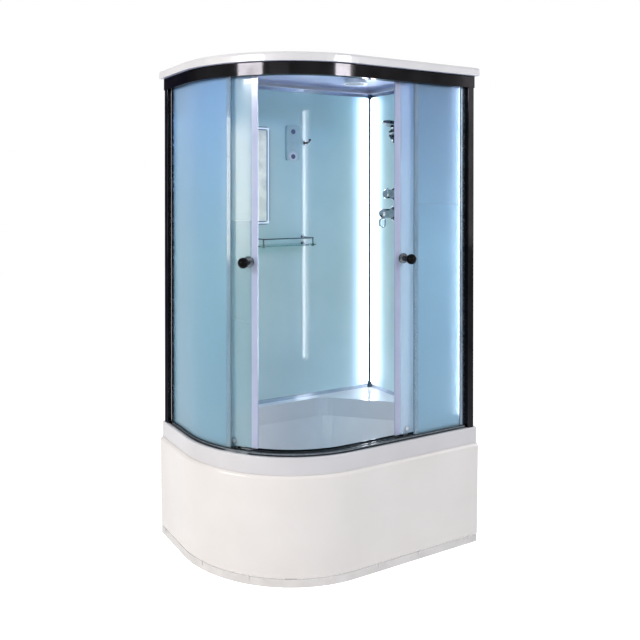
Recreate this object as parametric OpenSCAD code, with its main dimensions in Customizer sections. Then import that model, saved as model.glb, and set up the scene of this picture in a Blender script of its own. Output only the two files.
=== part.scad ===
// Offset-quadrant shower cabin with a tall tray and two sliding doors.
// Shapes are drawn from the outer back corner of the tray: X runs left along the long wall as negative
// values, Y runs forward along the short wall as negative values. in_cabin() then moves them so that the
// origin lies on the floor, in the middle of the whole cabin.

/* [Cabin] */
// Length of the tray along the long wall
cabin_length = 1200; // [1140:10:1400]
// Width of the tray along the short wall
cabin_width = 800; // [780:10:900]
// Height of the roof above the floor
cabin_height = 2130; // [2060:10:2300]
// Plan radius of the round front corner
corner_radius = 540; // [500:10:560]

/* [Tray] */
// Height of the front rim above the floor
tray_height = 512; // [460:2:560]
// Height of the plain band under the rim
fascia_height = 70; // [45:1:80]
// How far that band stands back from the apron
fascia_setback = 12; // [8:1:16]
// Radius of the rim's outer edge
rim_edge_radius = 5; // [3:0.5:8]
// Thickness of the moulded acrylic
acrylic_wall = 6; // [4:0.5:8]
// Depth of the basin under the rim
basin_depth = 370; // [300:5:390]
// How far the basin wall leans in from top to bottom
basin_draft = 55; // [30:1:80]
// Width of the front rim, from the apron's face
rim_width = 96; // [92:1:120]
// Width of the raised ledge along the walls, from the wall face
ledge_width = 46; // [36:1:60]
// Height of that ledge above the front rim
ledge_height = 18; // [12:1:24]
// Length of the corner seat along each wall
seat_leg = 330; // [260:5:380]
// Depth of the upright face under the seat
seat_drop = 73; // [50:1:100]
// Plan radius of the basin's own corners
basin_corner_radius = 130; // [110:5:150]
// Radius of the waste hole
waste_hole_radius = 26; // [22:1:30]

/* [Apron] */
// Thickness of the apron
apron_wall = 4; // [3:0.5:6]
// Radius of the shoulder along the apron's top
shoulder_radius = 14; // [8:1:18]
// How far the apron leans in from the shoulder to its foot
apron_lean = 6; // [0:1:12]
// Length of the flange that the apron turns round the right corner
apron_return = 34; // [25:1:50]
// Height of the plinth strip
plinth_height = 33; // [25:1:45]
// Dark gap between the plinth strip and the apron
plinth_gap = 3; // [2:0.5:5]
// Thickness of the plinth strip
plinth_wall = 3; // [2:0.5:5]

/* [Frame and feet] */
// Side of the square frame tube
tube_side = 25; // [20:1:30]
// Wall of the square frame tube
tube_wall = 2; // [1.5:0.5:3]
// Radius of a foot pad
foot_radius = 25; // [20:1:30]
// Thickness of a foot pad
foot_thickness = 12; // [8:1:16]
// Radius of a foot's threaded rod
rod_radius = 6; // [5:0.5:8]
// Radius of the waste outlet pipe
waste_pipe_radius = 20; // [16:1:25]
// Height of that pipe's centre above the floor
waste_pipe_z = 60; // [46:1:70]

/* [Walls] */
// Distance from the tray's back edge to the face of a wall panel
wall_face = 38; // [34:1:40]
// Thickness of the wall panels
panel_thickness = 5; // [4:0.5:6]
// Height of the U rails above and below the panels
wall_rail_height = 18; // [14:1:24]
// Wall of the U rails
wall_rail_wall = 1.5; // [1:0.5:2.5]
// Radius of the cove profile in the inner corner
cove_radius = 14; // [10:1:20]
// Width of a wall post along its wall
post_width = 33; // [32:1:50]
// Depth of a wall post across its wall
post_depth = 38; // [36:1:50]
// Distance from the cabin's side to a wall post and to the header's end
post_setback = 10; // [2:1:12]
// Wall of a wall post
post_wall = 2; // [1.5:0.5:3]
// Width of the profile that grips the fixed glass beside a post
glazing_width = 28; // [20:1:36]
// Width of a light strip
light_width = 34; // [20:1:44]
// Depth of a light strip
light_depth = 7; // [5:0.5:10]
// Width of the single light strip on the side wall
single_light_width = 20; // [16:1:30]
// Distance from the front of the cabin to that strip
single_light_place = 80; // [76:1:110]

/* [Header and sill] */
// Height of the header rail
header_height = 52; // [46:1:60]
// Distance from the apron's face to the header's face
header_inset = 14; // [10:1:18]
// Sheet thickness of the header and the sill
rail_sheet = 2; // [1.5:0.5:3]
// Height of the sill's outer lip
sill_height = 10; // [8:1:14]
// Width of the black gasket on the sill
gasket_width = 5; // [3:0.5:5]

/* [Glass and doors] */
// Distance from the apron's face to the fixed glass
glass_inset = 40; // [38:1:42]
// Thickness of all door and fixed glass
glass_thickness = 5; // [4:0.5:6]
// Clear space between a fixed glass and the door behind it
door_gap = 14; // [12:0.5:16]
// Plan angle of the left fixed glass's edge on the round corner
left_glass_angle = 30.5; // [27:0.5:33]
// Width of the curved left door along its outer face
left_door_width = 556; // [530:2:558]
// Overlap of the closed right door and the fixed glass beside it
right_overlap = 28; // [20:1:40]
// Gap from the left door's rear edge, as it stands, to the long wall
left_wall_gap = 40; // [14:1:220]
// Gap from the right door's rear edge, as it stands, to the short wall
right_wall_gap = 26; // [16:1:250]
// Width of a door's leading seal
seal_width = 26; // [18:1:30]
// Width of the edge profile on a fixed glass
edge_width = 18; // [8:1:20]

/* [Rollers and knobs] */
// Radius of a top roller
top_roller_radius = 10; // [8:0.5:11]
// Distance from the left door's leading edge to its front hanger
left_hanger_place = 107; // [90:1:115]
// Radius of a bottom roller
low_roller_radius = 9; // [7:0.5:10]
// Width of every roller
roller_width = 6; // [5:0.5:7]
// Radius of a roller's axle
axle_radius = 2.5; // [2:0.5:3]
// Distance from the right door's leading edge to its front hanger
hanger_inset = 62; // [56:1:80]
// Distance from a door's rear edge to its rear hanger
rear_hanger_inset = 88; // [60:1:100]
// Radius of a knob's ball
ball_radius = 22; // [18:0.5:25]
// Distance from the door's face to the centre of the ball
ball_reach = 60; // [52:1:70]
// Distance from the door's leading edge to its knob
knob_place = 38; // [34:1:48]
// Height of the knobs above the floor
knob_height = 1284; // [1100:1:1400]
// Radius of a knob's base
knob_base_radius = 22.5; // [18:0.5:25]

/* [Roof] */
// Height of the roof's outer rim
roof_rim = 36; // [24:1:40]
// Height of the roof's crown above that rim
roof_crown = 8; // [4:1:14]
// How far the roof stands out past the apron's face
roof_overhang = 5; // [0:1:10]
// Thickness of the roof shell
roof_wall = 4; // [3:0.5:5]
// Width of the sloping border of the roof
roof_border = 90; // [60:5:120]
// Radius of the rain head
rain_head_radius = 110; // [80:5:130]
// Radius of the fan opening
fan_radius = 52; // [45:1:60]

/* [Fittings on the long wall] */
// Distance from the cabin's side to the mirror's near edge
mirror_place = 650; // [640:5:680]
// Width of the mirror
mirror_width = 250; // [200:5:280]
// Height of the mirror
mirror_height = 478; // [400:2:500]
// Drop from the header to the mirror's top
mirror_drop = 147; // [120:1:170]
// Distance from the cabin's side to the control panel's near edge
panel_place = 482; // [470:1:500]
// Width of the control panel
panel_width = 76; // [72:1:96]
// Height of the control panel
panel_height = 174; // [150:2:190]
// Drop from the header to the control panel's top
panel_drop = 134; // [110:1:150]
// Thickness of the control panel
panel_depth = 12; // [9:0.5:16]
// Travel of the panel's buttons
button_travel = 1.2; // [0.8:0.1:2]
// Distance from the cabin's side to the shelf's near end
shelf_place = 436; // [430:2:450]
// Length of the shelf
shelf_length = 320; // [280:2:340]
// Depth of the shelf
shelf_depth = 110; // [90:2:130]
// Drop from the header to the underside of the shelf's glass
shelf_drop = 728; // [700:1:760]
// Thickness of the shelf's glass
shelf_thickness = 6; // [5:0.5:8]
// Height of the shelf's rail above its glass
shelf_rail_rise = 36; // [25:1:50]
// Distance from the cabin's side to the robe hook
hook_place = 440; // [430:1:460]
// Drop from the header to the robe hook
hook_drop = 218; // [180:1:240]

/* [Fittings on the short wall] */
// Distance from the cabin's back to the mixer
mixer_place = 244; // [200:2:280]
// Height of the mixer lever's plate above the floor
mixer_height = 1460; // [1440:2:1490]
// Distance between the lever's and the diverter's plates
mixer_spacing = 98; // [92:1:120]
// Radius of the valve body
valve_radius = 15; // [13:0.5:15.5]
// Radius of the valve's two water inlets
inlet_radius = 10.475; // [8:0.025:10.475]
// Distance from the cabin's back to the hand shower's bracket
bracket_place = 248; // [220:2:280]
// Drop from the header to that bracket
bracket_drop = 172; // [150:1:200]
// Radius of the bracket's wall disc
bracket_radius = 34; // [30:1:44]
// Radius of the hand shower's handle
handle_radius = 12; // [10:0.5:14]
// Radius of the hand shower's spray head
spray_radius = 42; // [34:1:46]
// Distance from the swivel pin to the cup that holds the hand shower
cup_arm = 108; // [100:1:115]

/* [Hidden] */

round_facets = 96;
$fn = 40;
// Gap that keeps two bodies apart where they run past each other
running_gap = 0.3;
// Gap between a roller's bore and its axle
bore_gap = 0.05;
// Margin by which a cut passes the solid that it cuts
over = 10;

arc_x = corner_radius - cabin_length;
arc_y = corner_radius - cabin_width;
knob_tip_inset = glass_inset + glass_thickness + door_gap - ball_reach - ball_radius;
front_reach = max(roof_overhang, -knob_tip_inset);
centre_x = (cabin_length + roof_overhang) / 2;
centre_y = (cabin_width + front_reach) / 2;

rim_top = tray_height;
ledge_top = tray_height + ledge_height;
fascia_bottom = tray_height - fascia_height;
basin_floor = tray_height - basin_depth;
apron_foot = plinth_height + plinth_gap;

header_top = cabin_height - roof_rim - roof_crown;
header_bottom = header_top - header_height;
header_depth = rim_width + 6;
glass_bottom = rim_top + rail_sheet + 2;
glass_top = header_bottom + 10;
track_top = header_bottom + 20;
top_axle_z = track_top + top_roller_radius + running_gap;
low_axle_z = rim_top + rail_sheet + low_roller_radius + running_gap;

door_inset = glass_inset + glass_thickness + door_gap;
door_outer = corner_radius - door_inset;
door_inner = door_outer - glass_thickness;
door_bottom = rim_top + rail_sheet + 14;
door_top = track_top + 2;
hanger_hole_z = door_top - 12;
guide_hole_z = door_bottom + 20;
washer = 0.5;
plate_thickness = 4;
roller_face = door_inner - washer - plate_thickness - 2.5;
roller_back = roller_face - roller_width;
track_outer = roller_face + 1;
track_inner = roller_back - 3;
left_trail_angle = 180 - asin((-arc_y - wall_face - left_wall_gap) / door_outer);
left_lead_angle = left_trail_angle + deg_along(left_door_width, door_outer);
right_glass_edge = -arc_x / 2;
right_door_width = right_glass_edge + right_overlap;
right_lead_x = -wall_face - right_wall_gap - right_door_width;
// Gap from the end of the curved door track to the long wall
track_gap = 12;
track_start = 180 - asin((-arc_y - wall_face - track_gap) / door_outer);
post_end = post_width + post_setback;

ledge_left = arc_x + (track_inner - 6) * cos(track_start);
ledge_front = corner_radius - track_inner + 4 - cabin_width;

post_outer = header_inset + 4;
post_inner = post_outer + post_depth + running_gap;
post_edge = 3;
corner_clear = wall_face + cove_radius + 2 * running_gap;
u_width = panel_thickness + 2 * (running_gap + wall_rail_wall);
panel_bottom_z = ledge_top + wall_rail_wall + running_gap;
panel_top_z = header_top - wall_rail_wall - running_gap;
channel_wall = 2;
channel_bottom = rim_top + rail_sheet + sill_height + running_gap;
channel_top = header_bottom - running_gap;
light_gap = cove_radius + 2;
light_bottom = ledge_top + 32;
light_top = header_bottom + 26;

frame_z = basin_floor - acrylic_wall - running_gap - tube_side;
upright_inset = 45;
frame_left_inset = 250;
frame_front_inset = 150;
frame_left_x = frame_left_inset - cabin_length;
frame_right_x = -upright_inset;
frame_mid_x = arc_x + 60;
frame_back_y = -upright_inset;
frame_front_y = frame_front_inset - cabin_width;
side_tube_y = -175;
nut_height = 10;
nut_radius = rod_radius + 5;
foot_neck_radius = rod_radius + 4;
foot_inset = 60;
foot_places = [for (
    x = [frame_left_x + foot_inset, frame_mid_x + tube_side / 2, frame_right_x - foot_inset],
    y = [frame_front_y, frame_back_y]) [x, y - tube_side / 2]];

waste_x = frame_mid_x - 62;
waste_y = -cabin_width / 2 - 30;
pipe_end = 5;
spigot_length = 30;
strainer_radius = waste_hole_radius + 16;
strainer_height = 3;

clip_angles = [196, 221];
clip_inset = 48;
clip_places = [arc_x + 118, arc_x / 2, -clip_inset];

sill_front = 24;
gasket_height = 9;
bolt_radius = 4;
plate_round = 5;
seal_bottom = door_bottom;
seal_top = door_top;
neck_radius = 7;
left_places = [left_lead_angle - deg_along(left_hanger_place, door_outer),
    left_trail_angle + deg_along(rear_hanger_inset, door_outer)];
right_places = [right_lead_x + hanger_inset, right_lead_x + right_door_width - rear_hanger_inset];
left_knob_angle = left_lead_angle - deg_along(knob_place, door_outer);
right_knob_x = right_lead_x + knob_place;

roof_bottom = header_top;
rain_x = -cabin_length / 2 + 60;
rain_y = -cabin_width / 2 - 20;
rain_neck = 12;
fan_x = -270;
fan_y = -230;
fan_depth = 24;
rotor_height = 14;

frame_border = 12;
mirror_thickness = 4;
mirror_middle = mirror_place + mirror_width / 2;
mirror_middle_z = header_bottom - mirror_drop - mirror_height / 2;
panel_middle = panel_place + panel_width / 2;
panel_middle_z = header_bottom - panel_drop - panel_height / 2;
shelf_z = header_bottom - shelf_drop;
hook_z = header_bottom - hook_drop;
bracket_z = header_bottom - bracket_drop;
cable_hole = 8;
button_radius = 12;
button_proud = 1.5;
mode_rise = 56;
power_drop = 68;
display_width = 52;
display_height = 26;
shelf_post_inset = 22;
shelf_rail_front = 12;
shelf_back_gap = 3;
rail_rod = 3;

swivel_reach = 30;
swivel_height = 16;
swivel_pin = 3.5;
swivel_x = -wall_face - swivel_reach;
swivel_y = -bracket_place;
cup_turn = 253;
cup_x = swivel_x + cup_arm * cos(cup_turn);
cup_y = swivel_y + cup_arm * sin(cup_turn);
cup_height = 26;
handle_drop = 105;
outlet_pipe_radius = 10;

valve_axis_x = panel_thickness + 0.5 + valve_radius - wall_face;
cartridge_radius = 14;
spindle_radius = 6;
spindle_reach = 40;
inlet_spacing = 110;
inlet_drop = 56;
inlet_tip = 2;
inlet_length = 14;
supply_radius = 7;
supply_setback = 7;
plate_rise = 8;
cap_plate_radius = 36;
diverter_plate_radius = 32;
knob_radius = 23;
knob_reach = 58;
cap_radius = 24;
cap_reach = 83;
lever_width = 12;
lever_thickness = 6;
lever_pin = 2;
lever_pin_y = -19;
lever_loop_y = -47;
lever_reach = 74;
loop_outer = 20;
loop_inner = 14.5;
loop_straight = 11;

function deg_along(length, radius) = length / radius * 180 / PI;

// Moves shapes drawn from the outer back corner to the cabin's own frame
module in_cabin() {
    translate([centre_x, centre_y, 0]) children();
}

// Turns a shape drawn with +X outward to a plan angle on the round corner
module on_arc(angle) {
    translate([arc_x, arc_y, 0]) rotate([0, 0, angle]) children();
}

// Puts the same shape on the straight front, at a distance along X
module on_front(x) {
    translate([x, arc_y, 0]) rotate([0, 0, 270]) children();
}

// Points a cylinder drawn along +Z outward, from a distance from the arc's centre
module outward(start, height_z) {
    translate([start, 0, height_z]) rotate([0, 90, 0]) children();
}

// The tray's outline, moved in by an inset on its two front sides and let out by grow at the walls
module plan(inset, grow = 0) {
    r = corner_radius - inset;
    translate([arc_x, arc_y]) intersection() {
        circle(r, $fn = round_facets);
        translate([-r, -r]) square(r);
    }
    translate([arc_x, arc_y - r]) square([grow - arc_x, grow - arc_y + r]);
    translate([arc_x - r, arc_y]) square([r, grow - arc_y]);
}

// A strip of the plan between two insets, open at the walls
module band(outer, inner) {
    difference() {
        plan(outer);
        plan(inner, over);
    }
}

// Everything in front of the posts
module before_posts(gap_side, gap_back) {
    translate([-cabin_length - over, -cabin_width - over])
        square([cabin_length + over - gap_side, cabin_width + over - gap_back]);
}

// Sweeps a profile along the front: its x is the distance from the arc's centre and its y is the height
module sweep_front(side_gap, back_gap) {
    translate([arc_x, arc_y, 0]) {
        rotate_extrude(start = 180, angle = 90, $fn = round_facets) children();
        mirror([0, 1, 0]) rotate([90, 0, 90]) linear_extrude(-arc_x - side_gap) children();
        rotate([90, 0, 180]) linear_extrude(-arc_y - back_gap) children();
    }
}

// The door track's path as a flat strip between two radii: round, then straight along the front
module track_strip(r_in, r_out) {
    far = 2 * corner_radius;
    translate([arc_x, arc_y]) {
        intersection() {
            difference() {
                circle(r_out, $fn = round_facets);
                circle(r_in, $fn = round_facets);
            }
            polygon([[0, 0], far * [cos(track_start), sin(track_start)], [-far, -far], [0, -far]]);
        }
        translate([0, -r_out]) square([-arc_x - post_end, r_out - r_in]);
    }
}

module rounded_square(size, r) {
    translate([r, 0]) square([size[0] - 2 * r, size[1]]);
    translate([0, r]) square([size[0], size[1] - 2 * r]);
    for (x = [r, size[0] - r], y = [r, size[1] - r]) translate([x, y]) circle(r);
}

// The basin's opening, moved in by an inset, with the corner under the seat cut off
module basin_outline(inset, seat) {
    back = wall_face + ledge_width + inset;
    cut = wall_face + seat + inset * 0.4;
    offset(r = basin_corner_radius, $fn = 32) offset(delta = -basin_corner_radius) intersection() {
        plan(rim_width + inset);
        polygon([[-cut, -back], [-back, -cut], [-back, -2 * cabin_width],
            [-2 * cabin_length, -2 * cabin_width], [-2 * cabin_length, -back]]);
    }
}

// The hollow of the basin, or its outside when wall is more than zero
module basin_form(wall) {
    floor_z = basin_floor - wall;
    fillet = 40;
    hull() {
        translate([0, 0, rim_top - seat_drop]) linear_extrude(1) basin_outline(-wall, seat_leg);
        for (step = [0 : 3]) {
            bend = step * 30;
            translate([0, 0, floor_z + fillet * (1 - sin(bend))])
                linear_extrude(0.1)
                    basin_outline(basin_draft - wall + fillet * (1 - cos(bend)), seat_leg + 40);
        }
    }
}

module tray_basin() {
    color("whitesmoke") in_cabin() difference() {
        union() {
            difference() {
                union() {
                    translate([0, 0, fascia_bottom]) linear_extrude(fascia_height - rim_edge_radius)
                        plan(fascia_setback);
                    translate([0, 0, rim_top - rim_edge_radius]) linear_extrude(rim_edge_radius)
                        plan(fascia_setback + rim_edge_radius);
                    sweep_front(0, 0) translate([corner_radius - fascia_setback - rim_edge_radius,
                        rim_top - rim_edge_radius]) intersection() {
                        circle(rim_edge_radius);
                        square(rim_edge_radius);
                    }
                    translate([0, 0, rim_top - 1]) linear_extrude(ledge_height + 1) ledge_plan();
                }
                translate([0, 0, fascia_bottom - over]) linear_extrude(fascia_height + over - acrylic_wall)
                    intersection() {
                        plan(fascia_setback + acrylic_wall);
                        before_posts(acrylic_wall, acrylic_wall);
                    }
            }
            basin_form(acrylic_wall);
            translate([0, 0, rim_top - seat_drop]) linear_extrude(seat_drop - 1)
                basin_outline(-acrylic_wall, seat_leg);
        }
        basin_form(0);
        translate([0, 0, rim_top - seat_drop]) linear_extrude(seat_drop + ledge_height + over)
            basin_outline(0, seat_leg);
        translate([waste_x, waste_y, basin_floor - acrylic_wall - over])
            cylinder(r = waste_hole_radius, h = acrylic_wall + 2 * over);
    }
}

// Raised ledge along the walls with the corner seat, narrow where the doors run past its ends
module ledge_plan() {
    narrow = post_end - running_gap;
    reach = wall_face + ledge_width + acrylic_wall;
    leg = wall_face + seat_leg + acrylic_wall + 60;
    translate([post_inner - cabin_length, -narrow]) square([cabin_length - post_inner, narrow]);
    translate([-narrow, post_inner - cabin_width]) square([narrow, cabin_width - post_inner]);
    translate([ledge_left, -reach]) square([-ledge_left, reach]);
    translate([-reach, ledge_front]) square([reach, -ledge_front]);
    polygon([[0, 0], [-leg, 0], [-leg, -reach], [-reach, -leg], [0, -leg]]);
}

module tray_apron() {
    r = corner_radius;
    top_z = fascia_bottom;
    steps = 6;
    outer = [for (i = [0 : steps]) let (a = 90 - i * 90 / steps)
        [r - shoulder_radius + shoulder_radius * cos(a), top_z - shoulder_radius + shoulder_radius * sin(a)]];
    color("whitesmoke") in_cabin() {
        sweep_front(0, 0) polygon(concat(
            [[r - shoulder_radius - apron_wall, top_z - running_gap]],
            [for (p = outer) [p[0], p[1] - running_gap]],
            [[r - apron_lean, apron_foot], [r - apron_lean - apron_wall, apron_foot],
                [r - apron_wall, top_z - shoulder_radius - apron_wall],
                [r - shoulder_radius - apron_wall, top_z - 2 * apron_wall]]));
        translate([-apron_wall, -cabin_width + apron_lean, apron_foot])
            cube([apron_wall, apron_return, top_z - shoulder_radius - apron_foot]);
    }
}

module apron_plinth() {
    color("gainsboro") in_cabin() linear_extrude(plinth_height) intersection() {
        band(apron_lean, apron_lean + plinth_wall);
        before_posts(4, 4);
    }
}

// Small clips that hook the plinth strip to the apron's foot
module apron_clips() {
    color("white") in_cabin() {
        for (angle = clip_angles) on_arc(angle) plinth_clip();
        for (x = clip_places) on_front(x) plinth_clip();
        translate([arc_x, -clip_inset, 0]) rotate([0, 0, 180]) plinth_clip();
    }
}

module plinth_clip() {
    r = corner_radius - apron_lean;
    translate([r + running_gap, -8, plinth_height - 17]) cube([2.5, 16, 20 - running_gap]);
    translate([r - 5, -6, plinth_height + running_gap / 2]) cube([8, 12, plinth_gap - running_gap]);
}

module square_tube(length) {
    difference() {
        cube([length, tube_side, tube_side]);
        translate([-1, tube_wall, tube_wall])
            cube([length + 2, tube_side - 2 * tube_wall, tube_side - 2 * tube_wall]);
    }
}

module upright(x, y) {
    translate([x + tube_side, y, frame_z + tube_side]) rotate([0, -90, 0])
        square_tube(rim_top - acrylic_wall - running_gap - frame_z - tube_side);
}

module tray_frame() {
    color("dimgray") in_cabin() {
        for (y = [frame_back_y, frame_front_y]) translate([frame_left_x, y - tube_side, frame_z])
            square_tube(frame_right_x - frame_left_x);
        for (x = [frame_left_x, frame_mid_x, frame_right_x - tube_side])
            translate([x + tube_side, frame_front_y, frame_z]) rotate([0, 0, 90])
                square_tube(frame_back_y - tube_side - frame_front_y);
        for (x = [frame_mid_x, frame_right_x - tube_side]) {
            translate([x + tube_side, upright_inset - cabin_width, frame_z]) rotate([0, 0, 90])
                square_tube(frame_front_y - tube_side + cabin_width - upright_inset);
            upright(x, upright_inset - cabin_width);
        }
        translate([upright_inset - cabin_length, side_tube_y, frame_z])
            square_tube(frame_left_x + cabin_length - upright_inset);
        upright(upright_inset - cabin_length, side_tube_y);
    }
}

module levelling_feet() {
    color("silver") in_cabin() for (p = foot_places) translate([p[0], p[1], 0]) {
        cylinder(r = foot_radius, h = foot_thickness / 2);
        translate([0, 0, foot_thickness / 2])
            cylinder(r1 = foot_radius, r2 = foot_neck_radius, h = foot_thickness / 2);
        cylinder(r = rod_radius, h = frame_z);
        translate([0, 0, frame_z - nut_height]) cylinder(r = nut_radius, h = nut_height, $fn = 6);
    }
}

module waste_strainer() {
    color("silver") in_cabin() translate([waste_x, waste_y, basin_floor]) difference() {
        union() {
            cylinder(r = strainer_radius, h = strainer_height, $fn = round_facets);
            translate([0, 0, -acrylic_wall - 8])
                cylinder(r = waste_hole_radius - running_gap, h = acrylic_wall + 9);
        }
        translate([0, 0, -acrylic_wall - 9])
            cylinder(r = waste_hole_radius - 3, h = acrylic_wall + 9);
        for (ring = [[10, 6], [18, 10]]) for (i = [1 : ring[1]]) rotate([0, 0, i * 360 / ring[1]])
            translate([ring[0], 0, -1]) cylinder(r = 2.5, h = strainer_height + 2, $fn = 16);
    }
}

module waste_trap() {
    body_radius = waste_hole_radius + 16;
    top_z = basin_floor - acrylic_wall;
    bottom_z = waste_pipe_z - waste_pipe_radius - 4;
    color("white") in_cabin() difference() {
        union() {
            translate([waste_x, waste_y, bottom_z])
                cylinder(r = body_radius, h = top_z - bottom_z, $fn = round_facets);
            translate([waste_x, waste_y, waste_pipe_z]) rotate([-90, 0, 0])
                cylinder(r = waste_pipe_radius, h = -waste_y - pipe_end);
            translate([waste_x, -pipe_end - spigot_length - 3, waste_pipe_z]) rotate([-90, 0, 0])
                cylinder(r = waste_pipe_radius + 2, h = 3);
        }
        translate([waste_x, waste_y, bottom_z + 3])
            cylinder(r = body_radius - 3, h = top_z - bottom_z - 6, $fn = round_facets);
        translate([waste_x, waste_y, top_z - over])
            cylinder(r = waste_hole_radius + running_gap, h = 2 * over);
        translate([waste_x, waste_y, waste_pipe_z]) rotate([-90, 0, 0])
            cylinder(r = waste_pipe_radius - 2, h = cabin_width);
    }
}

module back_wall_panel() {
    color("lightsteelblue") in_cabin() difference() {
        translate([post_inner - cabin_length, -wall_face, panel_bottom_z])
            cube([cabin_length - post_inner - wall_face + panel_thickness, panel_thickness,
                panel_top_z - panel_bottom_z]);
        on_back(panel_middle, panel_middle_z) translate([0, 0, -over])
            cylinder(r = cable_hole, h = 2 * over);
    }
}

module side_wall_panel() {
    color("lightsteelblue") in_cabin() difference() {
        translate([-wall_face, post_inner - cabin_width, panel_bottom_z])
            cube([panel_thickness, cabin_width - post_inner - wall_face - running_gap,
                panel_top_z - panel_bottom_z]);
        for (z = [mixer_height, mixer_height + mixer_spacing])
            on_side(mixer_place, z) translate([0, 0, -over]) cylinder(r = cartridge_radius + 1, h = 2 * over);
        on_side(bracket_place, bracket_z) translate([0, 0, -over])
            cylinder(r = outlet_pipe_radius + running_gap, h = 2 * over);
    }
}

// Draws shapes on the long wall: local X along the wall, Y up and Z out of it
module on_back(x, z) {
    translate([-x, -wall_face, z]) rotate([90, 0, 0]) children();
}

// Draws shapes on the short wall: local X towards the front, Y up and Z out of it
module on_side(y, z) {
    translate([-wall_face, -y, z]) rotate([90, 0, -90]) children();
}

// Aluminium cove that closes the inner corner, with its round cap
module corner_profile() {
    place = wall_face + running_gap;
    cap_radius = cove_radius * 0.7;
    color("slategray") in_cabin() translate([-place, -place, ledge_top]) {
        linear_extrude(header_top - ledge_top) difference() {
            intersection() {
                circle(cove_radius);
                translate([-cove_radius, -cove_radius]) square(cove_radius);
            }
            translate([-wall_rail_wall, -wall_rail_wall]) intersection() {
                circle(cove_radius - 2.5 * wall_rail_wall);
                translate([-cove_radius, -cove_radius]) square(cove_radius);
            }
        }
        translate([-cap_radius - 1, -cap_radius - 1, header_top - ledge_top - 22])
            cylinder(r = cap_radius, h = 12);
    }
}

module u_rail(length) {
    difference() {
        cube([length, u_width, wall_rail_height]);
        translate([-1, wall_rail_wall, wall_rail_wall])
            cube([length + 2, u_width - 2 * wall_rail_wall, wall_rail_height]);
    }
}

module wall_rails() {
    face = wall_face + running_gap + wall_rail_wall;
    back_length = cabin_length - post_inner - corner_clear;
    side_length = cabin_width - post_inner - corner_clear;
    color("silver") in_cabin() {
        translate([post_inner - cabin_length, -face, ledge_top]) u_rail(back_length);
        translate([post_inner - cabin_length, -face + u_width, header_top]) rotate([180, 0, 0])
            u_rail(back_length);
        translate([-face + u_width, post_inner - cabin_width, ledge_top]) rotate([0, 0, 90])
            u_rail(side_length);
        translate([-face, post_inner - cabin_width, header_top]) rotate([180, 0, 90]) u_rail(side_length);
    }
}

// Hollow wall post, drawn from its outer front corner
module post(size) {
    linear_extrude(header_bottom - rim_top) difference() {
        rounded_square(size, post_edge);
        translate([post_wall, post_wall]) square([size[0] - 2 * post_wall, size[1] - 2 * post_wall]);
    }
}

module left_post() {
    color("darkslategray") in_cabin() translate([post_outer - cabin_length, -post_end, rim_top])
        post([post_depth, post_width]);
}

module right_post() {
    color("darkslategray") in_cabin() translate([-post_end, post_outer - cabin_width, rim_top])
        post([post_width, post_depth]);
}

// U profile that holds a glass edge: local X along the glass from the closed end, Y across it
module glass_channel(length, height_z) {
    wide = glass_thickness + 2 * (running_gap + channel_wall);
    linear_extrude(height_z) difference() {
        square([length, wide]);
        translate([channel_wall, channel_wall]) square([length, glass_thickness + 2 * running_gap]);
    }
}

module glazing_profiles() {
    inset = glass_inset - running_gap - channel_wall;
    wide = glass_thickness + 2 * (running_gap + channel_wall);
    height_z = channel_top - channel_bottom;
    color("slategray") in_cabin() {
        translate([-post_end - running_gap, inset + wide - cabin_width, channel_bottom]) rotate([0, 0, 180])
            glass_channel(glazing_width, height_z);
        translate([inset - cabin_length, -post_end - running_gap, channel_bottom]) rotate([0, 0, 270])
            glass_channel(glazing_width, height_z);
    }
}

module light_strip(width, height_z) {
    linear_extrude(height_z) polygon([[0, 0], [width, 0], [width - 3, light_depth], [3, light_depth]]);
}

module light_strips() {
    height_z = light_top - light_bottom;
    color("aliceblue") in_cabin() {
        on_back(wall_face + light_gap + light_width, light_bottom) rotate([-90, 0, 0]) mirror([0, 1, 0])
            light_strip(light_width, height_z);
        on_side(wall_face + light_gap, light_bottom) rotate([-90, 0, 0]) mirror([0, 1, 0])
            light_strip(light_width, height_z);
        on_side(cabin_width - single_light_place - single_light_width, light_bottom) rotate([-90, 0, 0])
            mirror([0, 1, 0]) light_strip(single_light_width, height_z);
    }
}

module header_rail() {
    lip = running_gap + rail_sheet;
    color("dimgray") in_cabin() {
        translate([0, 0, header_bottom]) linear_extrude(header_height) intersection() {
            band(header_inset, header_inset + rail_sheet);
            before_posts(post_setback, post_setback);
        }
        translate([0, 0, header_bottom]) linear_extrude(rail_sheet) intersection() {
            band(header_inset, glass_inset - running_gap);
            before_posts(post_setback, post_setback);
        }
        translate([0, 0, header_bottom]) linear_extrude(glass_top - header_bottom + 4) intersection() {
            band(glass_inset - lip, glass_inset - running_gap);
            before_posts(post_setback, post_setback);
        }
        translate([0, 0, header_bottom]) linear_extrude(header_height) intersection() {
            band(glass_inset + glass_thickness + running_gap, glass_inset + glass_thickness + lip);
            before_posts(post_setback, post_setback);
        }
        translate([0, 0, header_top - rail_sheet]) linear_extrude(rail_sheet) {
            intersection() {
                band(header_inset, header_depth);
                before_posts(post_end, post_end);
            }
            intersection() {
                band(header_inset, post_inner);
                before_posts(post_setback, post_setback);
            }
            track_strip(track_inner - rail_sheet, door_outer);
        }
        translate([0, 0, track_top - rail_sheet]) linear_extrude(header_top - track_top + rail_sheet)
            track_strip(track_inner - rail_sheet, track_inner);
        translate([0, 0, track_top - rail_sheet]) linear_extrude(rail_sheet)
            track_strip(track_inner - rail_sheet, track_outer);
    }
}

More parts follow.
